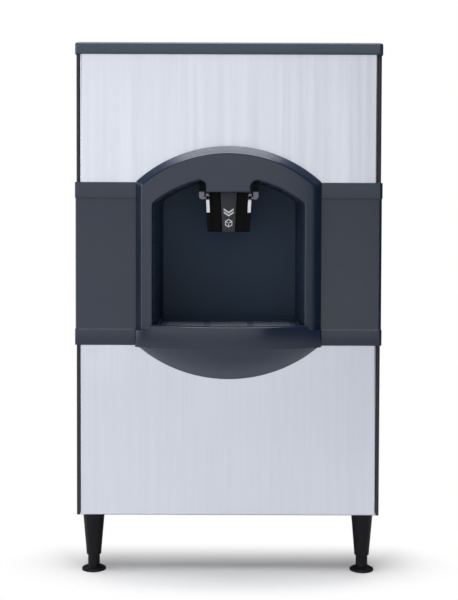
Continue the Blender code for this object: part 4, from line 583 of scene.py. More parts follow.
def cast(name, base):
    """Rough cast metal."""
    metal = Finish(name, base, 0.55, metallic=1.0)
    pits = metal.noise(520, 4, roughness=0.7)
    metal.shade(pits, 0.45, 0.75, 0.5, 0.6)
    metal.rough(pits, 0.46, 0.70)
    metal.bump(pits, 0.0003, 0.5)
    return metal.material


def rubbery(name, base):
    """Dull rubber with a pale bloom."""
    rubber = Finish(name, base, 0.78, specular=0.25)
    bloom = rubber.noise(24, 5, roughness=0.6)
    rubber.shade(bloom, 0.45, 0.75, 0.5, 2.0)
    rubber.rough(bloom, 0.70, 0.88)
    rubber.bump(rubber.noise(900, 3), 0.00008, 0.5)
    return rubber.material


def foamed(name, base):
    """Foam with its cut bubbles."""
    foam = Finish(name, base, 0.9, specular=0.2)
    cloud = foam.noise(9, 5)
    foam.shade(cloud, 0.35, 0.70, 0.5, 0.72)
    foam.rough(cloud, 0.84, 0.96)
    foam.bump(foam.cells(420, "SMOOTH_F1"), 0.0004, 0.6)
    return foam.material


def laminated(name, base):
    """Stack of thin iron plates."""
    stack = Finish(name, base, 0.5, metallic=1.0)
    plates = stack.add("TexWave", {"Scale": 520, "Vector": stack.place}, "Fac",
                       bands_direction="Z")
    stack.shade(plates, 0.2, 0.8, 0.6, 0.5)
    stack.rough(stack.noise(60), 0.42, 0.62)
    stack.bump(plates, 0.0002, 0.5)
    return stack.material


def circuit(name, base):
    """Lacquered board with tracks under the lacquer."""
    board = Finish(name, base, 0.35, specular=0.45)
    tracks = board.add("TexBrick", {"Scale": 160, "Mortar Size": 0.03, "Vector": board.place},
                       "Fac", offset=0.5, squash=1.0)
    board.shade(tracks, 0, 1, 0.6, 2.2)
    board.rough(board.noise(40), 0.28, 0.45)
    board.bump(tracks, 0.00005, 0.4)
    return board.material


# Maker, material and settings of each finish. Those of hidden parts have a colour of their own,
# the others a colour in FinishColours.
MAKERS = {
    "stainless": (brushed, "brushed_stainless", dict(roughness=0.36, grain=900, wave=0.0003)),
    "moulding": (moulded, "charcoal_moulding", {}),
    "trim": (moulded, "trim_moulding", {}),
    "liner": (moulded, "liner_moulding", dict(roughness=0.30, specular=0.12)),
    "grille": (moulded, "grille_moulding", dict(roughness=0.34)),
    "side_paint": (painted, "side_panel_paint", {}),
    "leg": (moulded, "leg_black", dict(roughness=0.40, grain=1800, specular=0.15)),
    "chute": (glossy, "chute_gloss_black", dict(roughness=0.2, specular=0.06)),
    "label": (moulded, "label_plate_grey", dict(roughness=0.42, grain=3200)),
    "printing": (moulded, "white_ink", dict(roughness=0.5, grain=4200, depth=0.00001)),
    "hanger": (glossy, "hanger_grey", dict(roughness=0.26)),
    "steel": (satin, "bright_steel", {}),
    "galvanised": (zinc_coated, "galvanised_sheet", {}),
    "bin_plastic": (moulded, "bin_white", dict(roughness=0.36, grain=900, depth=0.00004)),
    "wheel_plastic": (moulded, "wheel_white", dict(roughness=0.36, grain=1200)),
    "drain_plastic": (moulded, "drain_pipe_white", dict(roughness=0.42, grain=1500)),
    "relay_case": (glossy, "relay_case_grey", dict(roughness=0.24)),
    "motor_paint": (painted, "motor_paint", dict(roughness=0.5)),
    "casting": (cast, "gearbox_casting", {}),
    "rubber": (rubbery, "black_rubber", {}),
    "foam": (foamed, "insulation_foam", {}),
    "laminations": (laminated, "transformer_iron", {}),
    "board": (circuit, "circuit_board_green", {}),
}
OWN_COLOURS = {
    "hanger": (120, 122, 138), "wheel_plastic": (226, 229, 230), "drain_plastic": (220, 220, 214),
    "relay_case": (120, 128, 140), "motor_paint": (52, 56, 62), "casting": (128, 132, 136),
    "rubber": (26, 26, 28), "foam": (214, 196, 140), "laminations": (96, 92, 88),
    "board": (30, 92, 58),
}
FINISHES = {}


def finish(name):
    """The named finish, made once."""
    if name not in FINISHES:
        maker, material, settings = MAKERS[name]
        if name in OWN_COLOURS:
            base = rgb(*OWN_COLOURS[name])
        else:
            base = getattr(bpy.context.scene.dispenser_colours, name)
        FINISHES[name] = maker(material, base, **settings)
    return FINISHES[name]


# Cabinet skins

def panel_tray(name, bottom, top, bend, paint):
    """Front sheet with round bent edges and returns on all four sides."""
    def ring(inset, y):
        x = PANEL_HALF - inset
        return [(-x, y, bottom + inset), (x, y, bottom + inset), (x, y, top - inset),
                (-x, y, top - inset)]

    skins = [[ring(start, PANEL_BACK)] + [ring(start + radius * inset, start + radius * depth)
                                          for inset, depth in quarter(10)]
             for start, radius in ((0, bend), (SHEET, bend - SHEET))]
    return double_skin(name, skins, paint)


class FrontPanels(bpy.types.Operator):
    """Make the two brushed front panels"""
    bl_idname = "ice_dispenser.front_panels"
    bl_label = "Front panels"

    def execute(self, context):
        shapes = context.scene.dispenser_mouldings
        bend = context.scene.dispenser_cabinet.panel_bend
        far = CABINET_HALF + OVERRUN
        deep = (-OVERRUN, PANEL_BACK + OVERRUN)
        overlap = 0.012
        hidden = BEZEL_HALF - overlap
        across = spread(-hidden, hidden, shapes.smoothness)
        arch = [(x, arch_height(x, shapes.arch_radius - overlap, bezel_centre(shapes)))
                for x in across]
        lens = [(x, lens_bottom(x) + overlap) for x in across]
        under = UPPER_PANEL_LOW - OVERRUN
        over = LOWER_PANEL_TOP + OVERRUN
        for name, span, end, notch in (
                ("upper", (under - PANEL_BACK, UPPER_PANEL_TOP),
                 (UPPER_PANEL_LOW - far, UPPER_PANEL_LOW),
                 [(-hidden, under), *arch, (hidden, under)]),
                ("lower", (BODY_LOW, over + PANEL_BACK), (LOWER_PANEL_TOP, LOWER_PANEL_TOP + far),
                 [(hidden, over), (-hidden, over), *lens])):
            panel = panel_tray(name + "_steel_panel", *span, bend, finish("stainless"))
            carve(panel, [block("end", (-far, far), deep, end),
                          front_prism("notch", notch, *deep)])
            settle(panel, "cabinet", "stainless", name + "_front_panel")
        return {"FINISHED"}


class SidePanels(bpy.types.Operator):
    """Make the painted side panels with their folded edges"""
    bl_idname = "ice_dispenser.side_panels"
    bl_label = "Side panels"

    def execute(self, context):
        strip = CABINET_HALF - context.scene.dispenser_cabinet.side_strip
        bend = 0.004
        near = (CABINET_HALF - bend, SIDE_FRONT + bend)
        rear = (CABINET_HALF - bend, CABINET_DEPTH - bend)
        for side, sign in SIDES:
            node = "side_panel_" + side
            fold = x_span(node)[0]
            outline = [(strip, SIDE_FRONT + SHEET), (strip, SIDE_FRONT)]
            outline += arc(near, bend, -90, 0) + arc(rear, bend, 0, 90)
            outline += [(fold, CABINET_DEPTH), (fold, CABINET_DEPTH - SHEET)]
            outline += arc(rear, bend - SHEET, 90, 0) + arc(near, bend - SHEET, 0, -90)
            skin = plan_prism("side_skin_" + side, [(sign * x, y) for x, y in outline],
                              low(node).z, SIDE_TOP, finish("side_paint"), smooth=30)
            settle(soften(skin, EDGE_BREAK), "cabinet", "side_paint", node)
        return {"FINISHED"}


class TopTrim(bpy.types.Operator):
    """Make the trim round the top, which the ice maker stands on"""
    bl_idname = "ice_dispenser.top_trim"
    bl_label = "Top trim"

    def execute(self, context):
        sizes = context.scene.dispenser_cabinet
        corner = sizes.trim_corner
        edge = sizes.trim_edge
        flange = sizes.trim_flange
        lip = 0.0015
        hem = 0.001
        inner_corner = 0.004
        skirt = -TRIM_FRONT - GAP
        skirt_low = TRIM_LOW - 0.003
        section = [(hem, skirt_low, corner), (EDGE_BREAK, skirt_low + EDGE_BREAK, corner),
                   (0, skirt_low + hem, corner)]
        section += [(edge * inset, TRIM_TOP - edge * drop, corner) for inset, drop in quarter(8)]
        section += [(flange - lip, TRIM_TOP, corner),
                    (flange - lip / 3, TRIM_TOP - lip / 3, corner),
                    (flange, TRIM_TOP - lip, corner), (flange, FLANGE_UNDERSIDE, corner),
                    (skirt, FLANGE_UNDERSIDE, inner_corner), (skirt, skirt_low, inner_corner)]
        rings = [at_level(rounded_rectangle(TRIM_HALF - inset, TRIM_FRONT + inset,
                                            TRIM_BACK - inset, radius), z)
                 for inset, z, radius in section]
        trim = loft("top_trim_moulding", rings, finish("trim"), smooth=30, chain_closed=True)
        settle(trim, "cabinet", "charcoal", "top_trim")
        return {"FINISHED"}


class Bands(bpy.types.Operator):
    """Make the two halves of the middle band"""
    bl_idname = "ice_dispenser.bands"
    bl_label = "Middle band"

    def execute(self, context):
        sizes = context.scene.dispenser_cabinet
        inner = BEZEL_HALF + GAP
        outer = CABINET_HALF + GAP
        recess = sizes.band_recess
        radius = sizes.band_corner
        chamfer = 0.0012
        slope = 0.0006
        lower = BAND_LOW + sizes.band_strip
        upper = BAND_TOP - sizes.band_strip
        section = rounded_path(
            [(BAND_LOW, chamfer), (BAND_LOW, 0), (lower, 0), (lower + slope, recess),
             (upper - slope, recess), (upper, 0), (BAND_TOP, 0), (BAND_TOP, chamfer)],
            (0.0010, 0.0008, 0.0008, 0.0008, 0.0008, 0.0010), 4)
        for side, sign in SIDES:
            rings = []
            for z, sunk in section:
                front = sunk - BAND_PROUD
                edge = TRIM_HALF - sunk / 2
                outline = [(inner, -GAP), (inner, front)]
                outline += arc((edge - radius, front + radius), radius, -90, 0)
                outline += [(edge, BAND_WRAP), (outer, BAND_WRAP), (outer, -GAP)]
                rings.append(at_level([(sign * x, y) for x, y in outline], z))
            band = loft("band_moulding_" + side, rings, finish("moulding"), smooth=25)
            pocket = sorted((sign * (inner + MOULDING), sign * (TRIM_HALF - radius - MOULDING)))
            carve(band, [block("pocket", pocket, (recess + MOULDING - BAND_PROUD, OVERRUN),
                               (BAND_LOW + MOULDING, BAND_TOP - MOULDING))], smooth=25)
            settle(band, "cabinet", "charcoal", "band_" + side)
        return {"FINISHED"}


# Bezel and alcove

def bulge(shapes, x):
    """How far the bezel's face stands in front of the panels."""
    return BEZEL_BULGE - x * x / (2 * shapes.bulge_radius)


def bezel_centre(shapes):
    return BEZEL_TOP - shapes.arch_radius


def arch_height(x, radius, centre_z):
    return centre_z + math.sqrt(radius * radius - x * x)


def lens_bottom(x):
    """Lowest edge of the sink's underside where it meets the lower panel."""
    radius = (BEZEL_HALF ** 2 + LENS_DROP ** 2) / (2 * LENS_DROP)
    return LENS_LOW + radius - math.sqrt(max(radius ** 2 - x ** 2, 0))


def touching(corner_x, corner, radius, centre_z):
    """Height of a corner's centre, where it touches the arch, and the lean of that place."""
    corner_z = centre_z + math.sqrt((radius - corner) ** 2 - corner_x ** 2)
    return corner_z, math.degrees(math.atan2(corner_z - centre_z, corner_x))


def shoulder_points(half, radius, centre_z, corner, steps=8):
    """Left shoulder from the upright side to the arch, and where it touches the arch."""
    corner_z, lean = touching(half - corner, corner, radius, centre_z)
    points = arc((corner - half, corner_z), corner, 180, 180 - lean, steps)
    return points, -points[-1][0]


def mirrored(left):
    return left + [(-x, z) for x, z in reversed(left) if abs(x) > WELD]


def post_foot(inner):
    """Spread and heights of a post's foot, which turns outward above the sink."""
    return [(inner * side, POST_LOW + (SILL + GAP - POST_LOW) * up) for up, side in quarter(6)]


def upright(x, feet, shoulder, steps):
    """Points from a post's foot up its side and round the shoulder."""
    return feet + [(x, z) for z in spread(feet[-1][1], shoulder[0][1], steps)[1:-1]] + shoulder


def bezel_outline(shapes, inset):
    """Outer edge of the bezel, with as many points as its mouth has."""
    half = BEZEL_HALF - inset
    radius = shapes.arch_radius - inset
    centre = bezel_centre(shapes)
    shoulder, touch = shoulder_points(half, radius, centre, shapes.shoulder)
    steps = shapes.smoothness
    left = upright(-half, [(-half, z) for _, z in post_foot(0)], shoulder, steps // 2)
    # The points bunch abreast of the tongue, as those of the mouth do.
    places = (-touch, -0.085, -0.066, -0.054, 0)
    counts = (steps // 2, 8, 4, steps // 4)
    left += [(x, arch_height(x, radius, centre))
             for start, end, count in zip(places, places[1:], counts)
             for x in spread(start, end, count)[1:]]
    return mirrored(left)


def mouth_outline(shapes, grow):
    """Edge of the alcove's mouth with the tongue hanging into it."""
    half = ALCOVE_HALF + grow
    radius = shapes.alcove_arch + grow
    centre = ALCOVE_TOP - shapes.alcove_arch
    shoulder, touch = shoulder_points(half, radius, centre, shapes.alcove_shoulder + grow)
    steps = shapes.smoothness
    tongue = shapes.tongue_half - grow
    corner = shapes.tongue_corner + grow
    corner_z, lean = touching(tongue + corner, corner, radius, centre)
    bend = arc((-tongue - corner, corner_z), corner, 180 - lean, 0, 8)
    foot = LABEL_TOP + grow
    feet = [(-half - out, z) for out, z in post_foot(FOOT_SPREAD)]
    left = upright(-half, feet, shoulder, steps // 2)
    left += [(x, arch_height(x, radius, centre))
             for x in spread(-touch, bend[0][0], steps // 2)[1:]]
    left += bend[1:]
    left += [(-tongue, z) for z in spread(bend[-1][1], foot, 4)[1:]]
    left += [(x, foot) for x in spread(-tongue, 0, steps // 4)[1:]]
    return mirrored(left)


class Bezel(bpy.types.Operator):
    """Make the bowed bezel round the alcove"""
    bl_idname = "ice_dispenser.bezel"
    bl_label = "Bezel"

    def execute(self, context):
        shapes = context.scene.dispenser_mouldings
        border = shapes.chamfer + 0.008
        rings = []

        def ring(outline, depth=None):
            rings.append([(x, -GAP if depth is None else depth - bulge(shapes, x), z)
                          for x, z in outline])

        ring(bezel_outline(shapes, 0))
        edge = rounded_path([(0, shapes.chamfer_depth + 0.012), (0, shapes.chamfer_depth),
                             (shapes.chamfer, 0), (border, 0)], (0.0025, 0.004), 5)
        for inset, depth in edge[1:]:
            ring(bezel_outline(shapes, inset), depth)
        lip = shapes.lip
        for share in spread(0, 1, 8)[1:-1]:
            ring([(a + (c - a) * share, b + (d - b) * share) for (a, b), (c, d)
                  in zip(bezel_outline(shapes, border), mouth_outline(shapes, lip))], 0)
        for depth, grow in quarter(6):
            ring(mouth_outline(shapes, lip * grow), lip * depth)
        ring(mouth_outline(shapes, 0))
        ring(mouth_outline(shapes, MOULDING))
        ring(mouth_outline(shapes, MOULDING), MOULDING + lip)
        ring(bezel_outline(shapes, shapes.chamfer + MOULDING), MOULDING + lip)
        ring(bezel_outline(shapes, MOULDING), shapes.chamfer_depth + MOULDING)
        ring(bezel_outline(shapes, MOULDING))
        bezel = loft("bezel_moulding", rings, finish("moulding"), smooth=28, ring_closed=False,
                     chain_closed=True)
        settle(bezel, "cabinet", "charcoal", "dispensing_bezel")
        return {"FINISHED"}


def liner_ring(shapes, y, grow):
    """Section of the alcove, whose side walls lean in toward its back wall."""
    draft = shapes.alcove_draft * (y - LINER_FRONT) / (LINER_BACK - LINER_FRONT)
    half = ALCOVE_HALF + grow - draft
    radius = shapes.alcove_arch + grow
    centre = ALCOVE_TOP - shapes.alcove_arch
    shoulder, touch = shoulder_points(half, radius, centre, shapes.alcove_shoulder)
    left = [(-half, SILL - MOULDING)] + shoulder
    left += [(x, arch_height(x, radius, centre))
             for x in spread(-touch, 0, shapes.smoothness // 2)[1:]]
    return [(x, y, z) for x, z in mirrored(left)]


def throat_cutter(name):
    """Slanting passage for the ice throat, a gap wider than it."""
    node_low, node_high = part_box("ice_throat")
    outlet = 0.050
    inlet = 0.106
    half_length = 0.026 + GAP
    half = 0.040 + GAP
    collar = 0.002
    rings = []
    for z in (node_high.z + OVERRUN, node_low.z - OVERRUN):
        centre = (outlet + (inlet - outlet) * (z - node_low.z)
                  / (node_high.z - collar - node_low.z))
        front, back = centre - half_length, centre + half_length
        rings.append([(-half, front, z), (half, front, z), (half, back, z), (-half, back, z)])
    return loft(name, rings)


class Alcove(bpy.types.Operator):
    """Make the alcove's one-piece liner"""
    bl_idname = "ice_dispenser.alcove"
    bl_label = "Alcove liner"

    def execute(self, context):
        shapes = context.scene.dispenser_mouldings
        corner = 0.003
        skins = []
        for wall, back in ((MOULDING, LINER_BACK + MOULDING), (0, LINER_BACK)):
            rings = [liner_ring(shapes, y, wall) for y in spread(LINER_FRONT, back - corner, 6)]
            for angle in spread(0, 90, 4)[1:]:
                turn = math.radians(angle)
                rings.append(liner_ring(shapes, back - corner + corner * math.sin(turn),
                                        wall - corner * (1 - math.cos(turn))))
            skins.append(rings)
        liner = double_skin("alcove_moulding", skins, finish("liner"))
        far = ALCOVE_HALF + OVERRUN
        groove_low = GROOVE_Z - 0.0012
        groove_depth = 0.0008
        groove = [(-far, GROOVE_Z), (-far, groove_low), (far, groove_low), (far, GROOVE_Z)]
        carve(liner, [front_prism("groove", groove, LINER_BACK - 0.004,
                                  LINER_BACK + groove_depth)], smooth=30)
        carve(liner, [block("foot", (-far, far), (-OVERRUN, LINER_BACK + OVERRUN),
                            (SILL - OVERRUN, SILL + GAP)), throat_cutter("passage")], smooth=30)
        settle(liner, "cabinet", "charcoal", "alcove_liner")
        return {"FINISHED"}


# Sink and grille

def sink_reach(shapes, x):
    """How far the sink's bowed front, with its round ends, stands in front of the panels."""
    bow = SINK_REACH - shapes.sink_plan + math.sqrt(shapes.sink_plan ** 2 - x ** 2)
    short = max(abs(x) - BEZEL_HALF + shapes.sink_end, 0)
    return bow - shapes.sink_end + math.sqrt(shapes.sink_end ** 2 - short ** 2)


def sink_top(x):
    """The nose's top, which sinks under the posts' feet."""
    along = min(max((abs(x) - ALCOVE_HALF) / FOOT_SPREAD, 0), 1)
    return SILL - (SILL - POST_LOW) * (1 - math.sqrt(1 - along ** 2)) - GAP * along


def sink_section(shapes, x, wall, top):
    """One (y, z) slice of the sink's nose."""
    front = wall - sink_reach(shapes, x)
    floor = lens_bottom(x) + wall
    crease = BAND_LOW + wall
    fall = crease - floor
    edge = min(0.0035, (top - crease) / 3)
    fullness = 0.006
    nearest, furthest = front + 0.002, -0.001
    lens = min(max(nearest, wall - fall * SINK_REACH / LENS_DROP), furthest)
    points = [(OVERRUN if wall else -GAP, top)]
    points += arc((front + edge, top - edge), edge, 90, 180, 6)
    points += [(front, crease + edge / 3), (front + edge / 12, crease)]
    for share in spread(0, 1, 10)[:-1]:
        swell = fullness * math.sin(math.pi * share) * fall / LENS_DROP
        points.append((lens * (1 - share) - swell / 2,
                       crease + (floor - crease) * share - swell / 2))
    points.append((-GAP, floor))
    if wall:
        points.append((OVERRUN, floor))
    return points


def sink_nose(shapes, name, wall, top, paint=None):
    half = BEZEL_HALF - wall
    turn = [half - shapes.sink_end * (1 - math.cos(math.radians(angle)))
            for angle in spread(0, 75, 6)]
    foot = [ALCOVE_HALF + FOOT_SPREAD * math.sin(math.radians(angle))
            for angle in spread(0, 90, 6)]
    knots = [-x for x in turn + foot[::-1]]
    knots += spread(-ALCOVE_HALF, ALCOVE_HALF, shapes.smoothness)[1:-1] + foot + turn[::-1]
    rings = [[(x, y, z) for y, z in sink_section(shapes, x, wall, min(top, sink_top(x)))]
             for x in knots]
    return loft(name, rings, paint, smooth=25)


def cavity_outline(shapes, half, ledge, back):
    """Plan of the sink's cavity, bowed at the front like its nose."""
    return [(half, back), (-half, back)] + [(x, ledge - sink_reach(shapes, x))
                                            for x in spread(-half, half, shapes.smoothness)]


class Sink(bpy.types.Operator):
    """Make the sink with its bowed nose and lens-shaped underside"""
    bl_idname = "ice_dispenser.sink"
    bl_label = "Sink"

    def execute(self, context):
        shapes = context.scene.dispenser_mouldings
        ledge = shapes.sink_ledge
        wall = 0.0035
        seat = 0.008
        tub_half = CAVITY_HALF + 0.022
        seat_z = GRILLE_LOW - GAP
        sump_z = seat_z - 0.024
        tub_low = sump_z - wall
        drain_radius = 0.010
        back = LINER_BACK - wall
        neck = ALCOVE_HALF - GAP - GAP
        basin = sink_nose(shapes, "sink_moulding", 0, SILL, finish("moulding"))
        plan = [(tub_half, 0), (tub_half, TUB_BACK), (-tub_half, TUB_BACK), (-tub_half, 0),
                (-neck, 0), (-neck, -ledge), (neck, -ledge), (neck, 0)]
        carve(basin, [plan_prism("tub", plan, tub_low, SILL)], "UNION", smooth=25)
        flare = [at_level(cavity_outline(shapes, CAVITY_HALF + grow, ledge - grow, back), z)
                 for grow, z in ((0, seat_z), (0, SILL - 0.002), (0.0006, SILL - 0.0008),
                                 (0.002, SILL), (0.002, SILL + OVERRUN))]
        pit = cavity_outline(shapes, CAVITY_HALF - seat, ledge + seat, back - seat)
        for cutter in (sink_nose(shapes, "hollow", wall, tub_low), loft("cavity", flare),
                       plan_prism("pit", pit, sump_z, SILL),
                       turned("drain", [(drain_radius, tub_low - OVERRUN), (drain_radius, SILL)],
                              (0, middle("sink_drain")[1] - FACE, 0))):
            carve(basin, [cutter], smooth=25)
        basin.data.materials.append(finish("liner"))
        for face in basin.data.polygons:
            if face.center.z < SILL - GAP and -GAP < face.center.y - FACE:
                face.material_index = 1
        settle(basin, "cabinet", "charcoal", "sink_basin")
        return {"FINISHED"}


def slot_form(x, front, span, width):
    """Round-ended slot across the grille, flared at the top."""
    radius = width / 2
    end = span / 2 - radius
    flare = 0.0008
    return [at_level(arc((x + end, front + radius), radius + grow, -90, 90, 8)
                     + arc((x - end, front + radius), radius + grow, 90, 270, 8), z)
            for grow, z in ((0, GRILLE_LOW - OVERRUN), (0, GRILLE_TOP - flare),
                            (flare, GRILLE_TOP), (flare, GRILLE_TOP + OVERRUN))]


class DripGrille(bpy.types.Operator):
    """Make the slotted tray that lifts out of the sink"""
    bl_idname = "ice_dispenser.drip_grille"
    bl_label = "Drip grille"

    def execute(self, context):
        shapes = context.scene.dispenser_mouldings
        pitch = shapes.slot_pitch
        ledge = shapes.sink_ledge + GAP
        border = 0.014
        edge = 0.001
        rings = [at_level(cavity_outline(shapes, GRILLE_HALF - inset, ledge + inset,
                                         GRILLE_BACK - inset), z)
                 for inset, z in ((0, GRILLE_LOW), (0, GRILLE_TOP - edge),
                                  (EDGE_BREAK, GRILLE_TOP - EDGE_BREAK), (edge, GRILLE_TOP))]
        plate = loft("drip_tray", rings, finish("grille"), smooth=30)
        front = border + shapes.sink_ledge - sink_reach(shapes, GRILLE_HALF)
        column = (2 * GRILLE_HALF - border) / GRILLE_COLUMNS
        slots = bmesh.new()
        for row in range(int((GRILLE_BACK - border - front) / pitch)):
            for index in range(GRILLE_COLUMNS):
                add_loft(slots, slot_form((index - (GRILLE_COLUMNS - 1) / 2) * column,
                                          front + row * pitch, column - border,
                                          shapes.slot_width))
        notches = []
        notch_x, notch_half, notch_depth = 0.025, 0.003, 0.005
        for x in (-notch_x, notch_x):
            rim = ledge - sink_reach(shapes, x)
            notches.append(block("notch", (x - notch_half, x + notch_half),
                                 (rim - OVERRUN, rim + notch_depth),
                                 (GRILLE_LOW - OVERRUN, GRILLE_TOP + OVERRUN)))
        carve(plate, [finish_mesh("slots", slots, None)] + notches, smooth=30)
        settle(plate, "grille", "charcoal", "drip_grille")
        return {"FINISHED"}


# Chute

def chute_half(z):
    """Half width of the tapered chute at one level."""
    share = (z - CHUTE_LOW) / (CHUTE_TOP - CHUTE_LOW)
    return CHUTE_HALF - CHUTE_TAPER + CHUTE_TAPER * share


def both_sides(right):
    """Closed outline from its right half, the first point of which is on the middle plane."""
    return right + [(-x, y) for x, y in reversed(right[1:])]


class Chute(bpy.types.Operator):
    """Make the rocking chute with its label plate, straps, pins and hanger ears"""
    bl_idname = "ice_dispenser.chute"
    bl_label = "Chute"

    def shell(self):
        flange = 0.011
        floor = CHUTE_FRONT + CHUTE_RECESS
        step = CHUTE_FRONT + CHUTE_WALL
        rings = []
        for z in (CHUTE_LOW, CHUTE_TOP):
            half = chute_half(z)
            right = rounded_path(
                [(0, CHUTE_BACK), (half, CHUTE_BACK), (half, CHUTE_FRONT),
                 (half - flange, CHUTE_FRONT), (half - flange, step), (half - CHUTE_WALL, step),
                 (half - CHUTE_WALL, floor), (0, floor)],
                (0.004, 0.0012, 0.0006, 0.0006, 0.0006, 0.002), 4)
            rings.append(at_level(right + [(-x, y) for x, y in reversed(right[1:-1])], z))
        body = loft("chute_body", rings, finish("chute"), smooth=30)
        bore = [at_level(rounded_rectangle(chute_half(z) - 2 * CHUTE_WALL, floor + CHUTE_WALL,
                                           CHUTE_BACK - CHUTE_WALL, 0.003, 4), z)
                for z in (CHUTE_LOW - OVERRUN, CHUTE_TOP + OVERRUN)]
        carve(body, [loft("bore", bore)], smooth=30)
        settle(soften(body, 0.0005), "chute", "chute_black", "chute_shell")

    def label(self):
        back = CHUTE_FRONT + CHUTE_RECESS - GAP
        rings = [at_level(both_sides(rounded_path([(0, CHUTE_FRONT), (half, CHUTE_FRONT),
                                                   (half, back)], (0.0015,), 4)), z)
                 for half, z in ((0.016, CHUTE_LOW), (0.021, LABEL_TOP))]
        plate = loft("chute_label", rings, finish("label"), smooth=30)
        settle(soften(plate, 0.0004), "chute", "label_grey", "chute_label_plate")

    def strap(self, side, sign):
        """Steel strap whose upper part is a dimmer grey as painted shade from the tongue above, and
        the rivet through that.
        """
        node = "chute_strap_" + side
        front = fore(node)
        width = 0.0085
        seam = PIVOT_Z - 0.0055
        # The part above the seam gets the hangers' dimmer grey: painted shade, for the tongue's
        # shadow on the strap's upper end.
        for name, start, end, paint, nodes in (
                ("strap_" + side, low(node).z, seam, "steel", (node,)),
                ("strap_head_" + side, seam + GAP / 3, high(node).z, "hanger", ())):
            path = []
            for z, insets in ((start, (GAP, width)), (end, (width, GAP))):
                path += [(sign * (chute_half(z) - inset), z) for inset in insets]
            foot = [(path[0][0] + path[1][0]) / 2, start]
            outline = rounded_path([foot] + path[1:] + [path[0], foot], (0.0015,) * 4, 4)[1:]
            piece = front_prism(name, outline, front, aft(node), finish(paint), smooth=30)
            settle(soften(piece, EDGE_BREAK), "chute", "satin_steel", *nodes)
        x = sign * (chute_half(PIVOT_Z) - 0.0044)
        head = [(0.0001, front - 0.0019), (0.0024, front - 0.0018), (0.0037, front - 0.0010),
                (0.0040, front - GAP / 3)]
        rivet = turned("rivet_" + side, head, (x, 0, PIVOT_Z), finish("chute"), "Y", 24)
        settle(rivet, "chute", "chute_black")

    def pin(self, side, sign):
        node = "chute_pin_" + side
        radius = (high(node).z - low(node).z) / 2
        start, end = x_span(node)
        bevel = radius / 6
        profile = [(radius - bevel, sign * start), (radius, sign * (start + bevel)),
                   (radius, sign * (end - bevel)), (radius - bevel, sign * end)]
        pin = turned("hinge_pin_" + side, profile, (0, PIVOT_DEPTH, PIVOT_Z), finish("steel"),
                     "X", 32)
        settle(pin, "chute", "satin_steel", node)

    def ear(self, side, sign):
        """Hanger on the cabinet, with its socket for the pin and its stem."""
        node = "hanger_ear_" + side
        inner, outer = x_span(node)
        back = aft(node)
        bottom = low(node).z + 0.003
        web = 0.0030
        knee = rounded_path([(inner, CHUTE_TOP), (inner, bottom), (outer, bottom),
                             (outer, CHUTE_TOP)], (0.0012, 0.0095), 8)
        ear = front_prism("hanger_" + side, [(sign * x, z) for x, z in knee], fore(node), back,
                          finish("hanger"), smooth=30)
        # The stem takes the chute's gloss black as painted shade: it stands in the dark under the
        # tongue, above the grey ear.
        stem = block("hanger_stem_" + side, sorted((sign * inner, sign * outer)),
                     (PIVOT_DEPTH, back), (CHUTE_TOP + GAP / 3, high(node).z), finish("chute"))
        settle(soften(stem, 0.0005), "cabinet", "charcoal")
        radius = (high("chute_pin_left").z - low("chute_pin_left").z) / 2 + 0.0004
        socket = [(radius, sign * (inner - OVERRUN)), (radius, sign * (outer - web))]
        carve(ear, [turned("socket", socket, (0, PIVOT_DEPTH, PIVOT_Z), None, "X", 32)], smooth=30)
        settle(soften(ear, 0.0008, 3), "cabinet", "charcoal", node)

    def execute(self, context):
        self.shell()
        self.label()
        for side, sign in SIDES:
            self.strap(side, sign)
            self.pin(side, sign)
            self.ear(side, sign)
        return {"FINISHED"}


class PushSign(bpy.types.Operator):
    """Print two chevrons over an ice cube on the chute's label plate"""
    bl_idname = "ice_dispenser.push_sign"
    bl_label = "Push sign"

    def execute(self, context):
        printed = bmesh.new()

        def flat(points):
            add_loft(printed, [[(x, CHUTE_FRONT - rise, z) for x, z in points]
                               for rise in (0.0003, 0.00002)])

        height = LABEL_TOP - CHUTE_LOW
        top = CHUTE_LOW + height * 0.60
        wing, dip, point, stroke, apart = 0.0125, 0.0085, 0.0128, 0.0042, 0.0075
        for z in (top, top - apart):
            flat([(-wing, z), (0, z - dip), (wing, z), (wing, z - stroke),
                  (0, z - point), (-wing, z - stroke)])
        centre = CHUTE_LOW + height * 0.22
        cube, inside, half_line, hub, meeting = 0.0105, 0.78, 0.0010, 0.0012, 0.99
        outer = [(x, centre + z) for z, x in circle(cube, 6)]
        inner = [(x * inside, centre + (z - centre) * inside) for x, z in outer]
        for index in range(6):
            following = (index + 1) % 6
            flat([outer[index], outer[following], inner[following], inner[index]])
        for x, z in inner[1::2]:
            reach = Vector((x, z - centre))
            along = reach.normalized()
            across = Vector((-along.y, along.x)) * half_line
            begin = along * hub
            end = reach * meeting
            corners = [begin + across, end + across, end - across, begin - across]
            flat([(corner.x, centre + corner.y) for corner in corners])
        settle(finish_mesh("push_sign", printed, finish("printing")), "chute", "label_grey")
        return {"FINISHED"}


# Legs

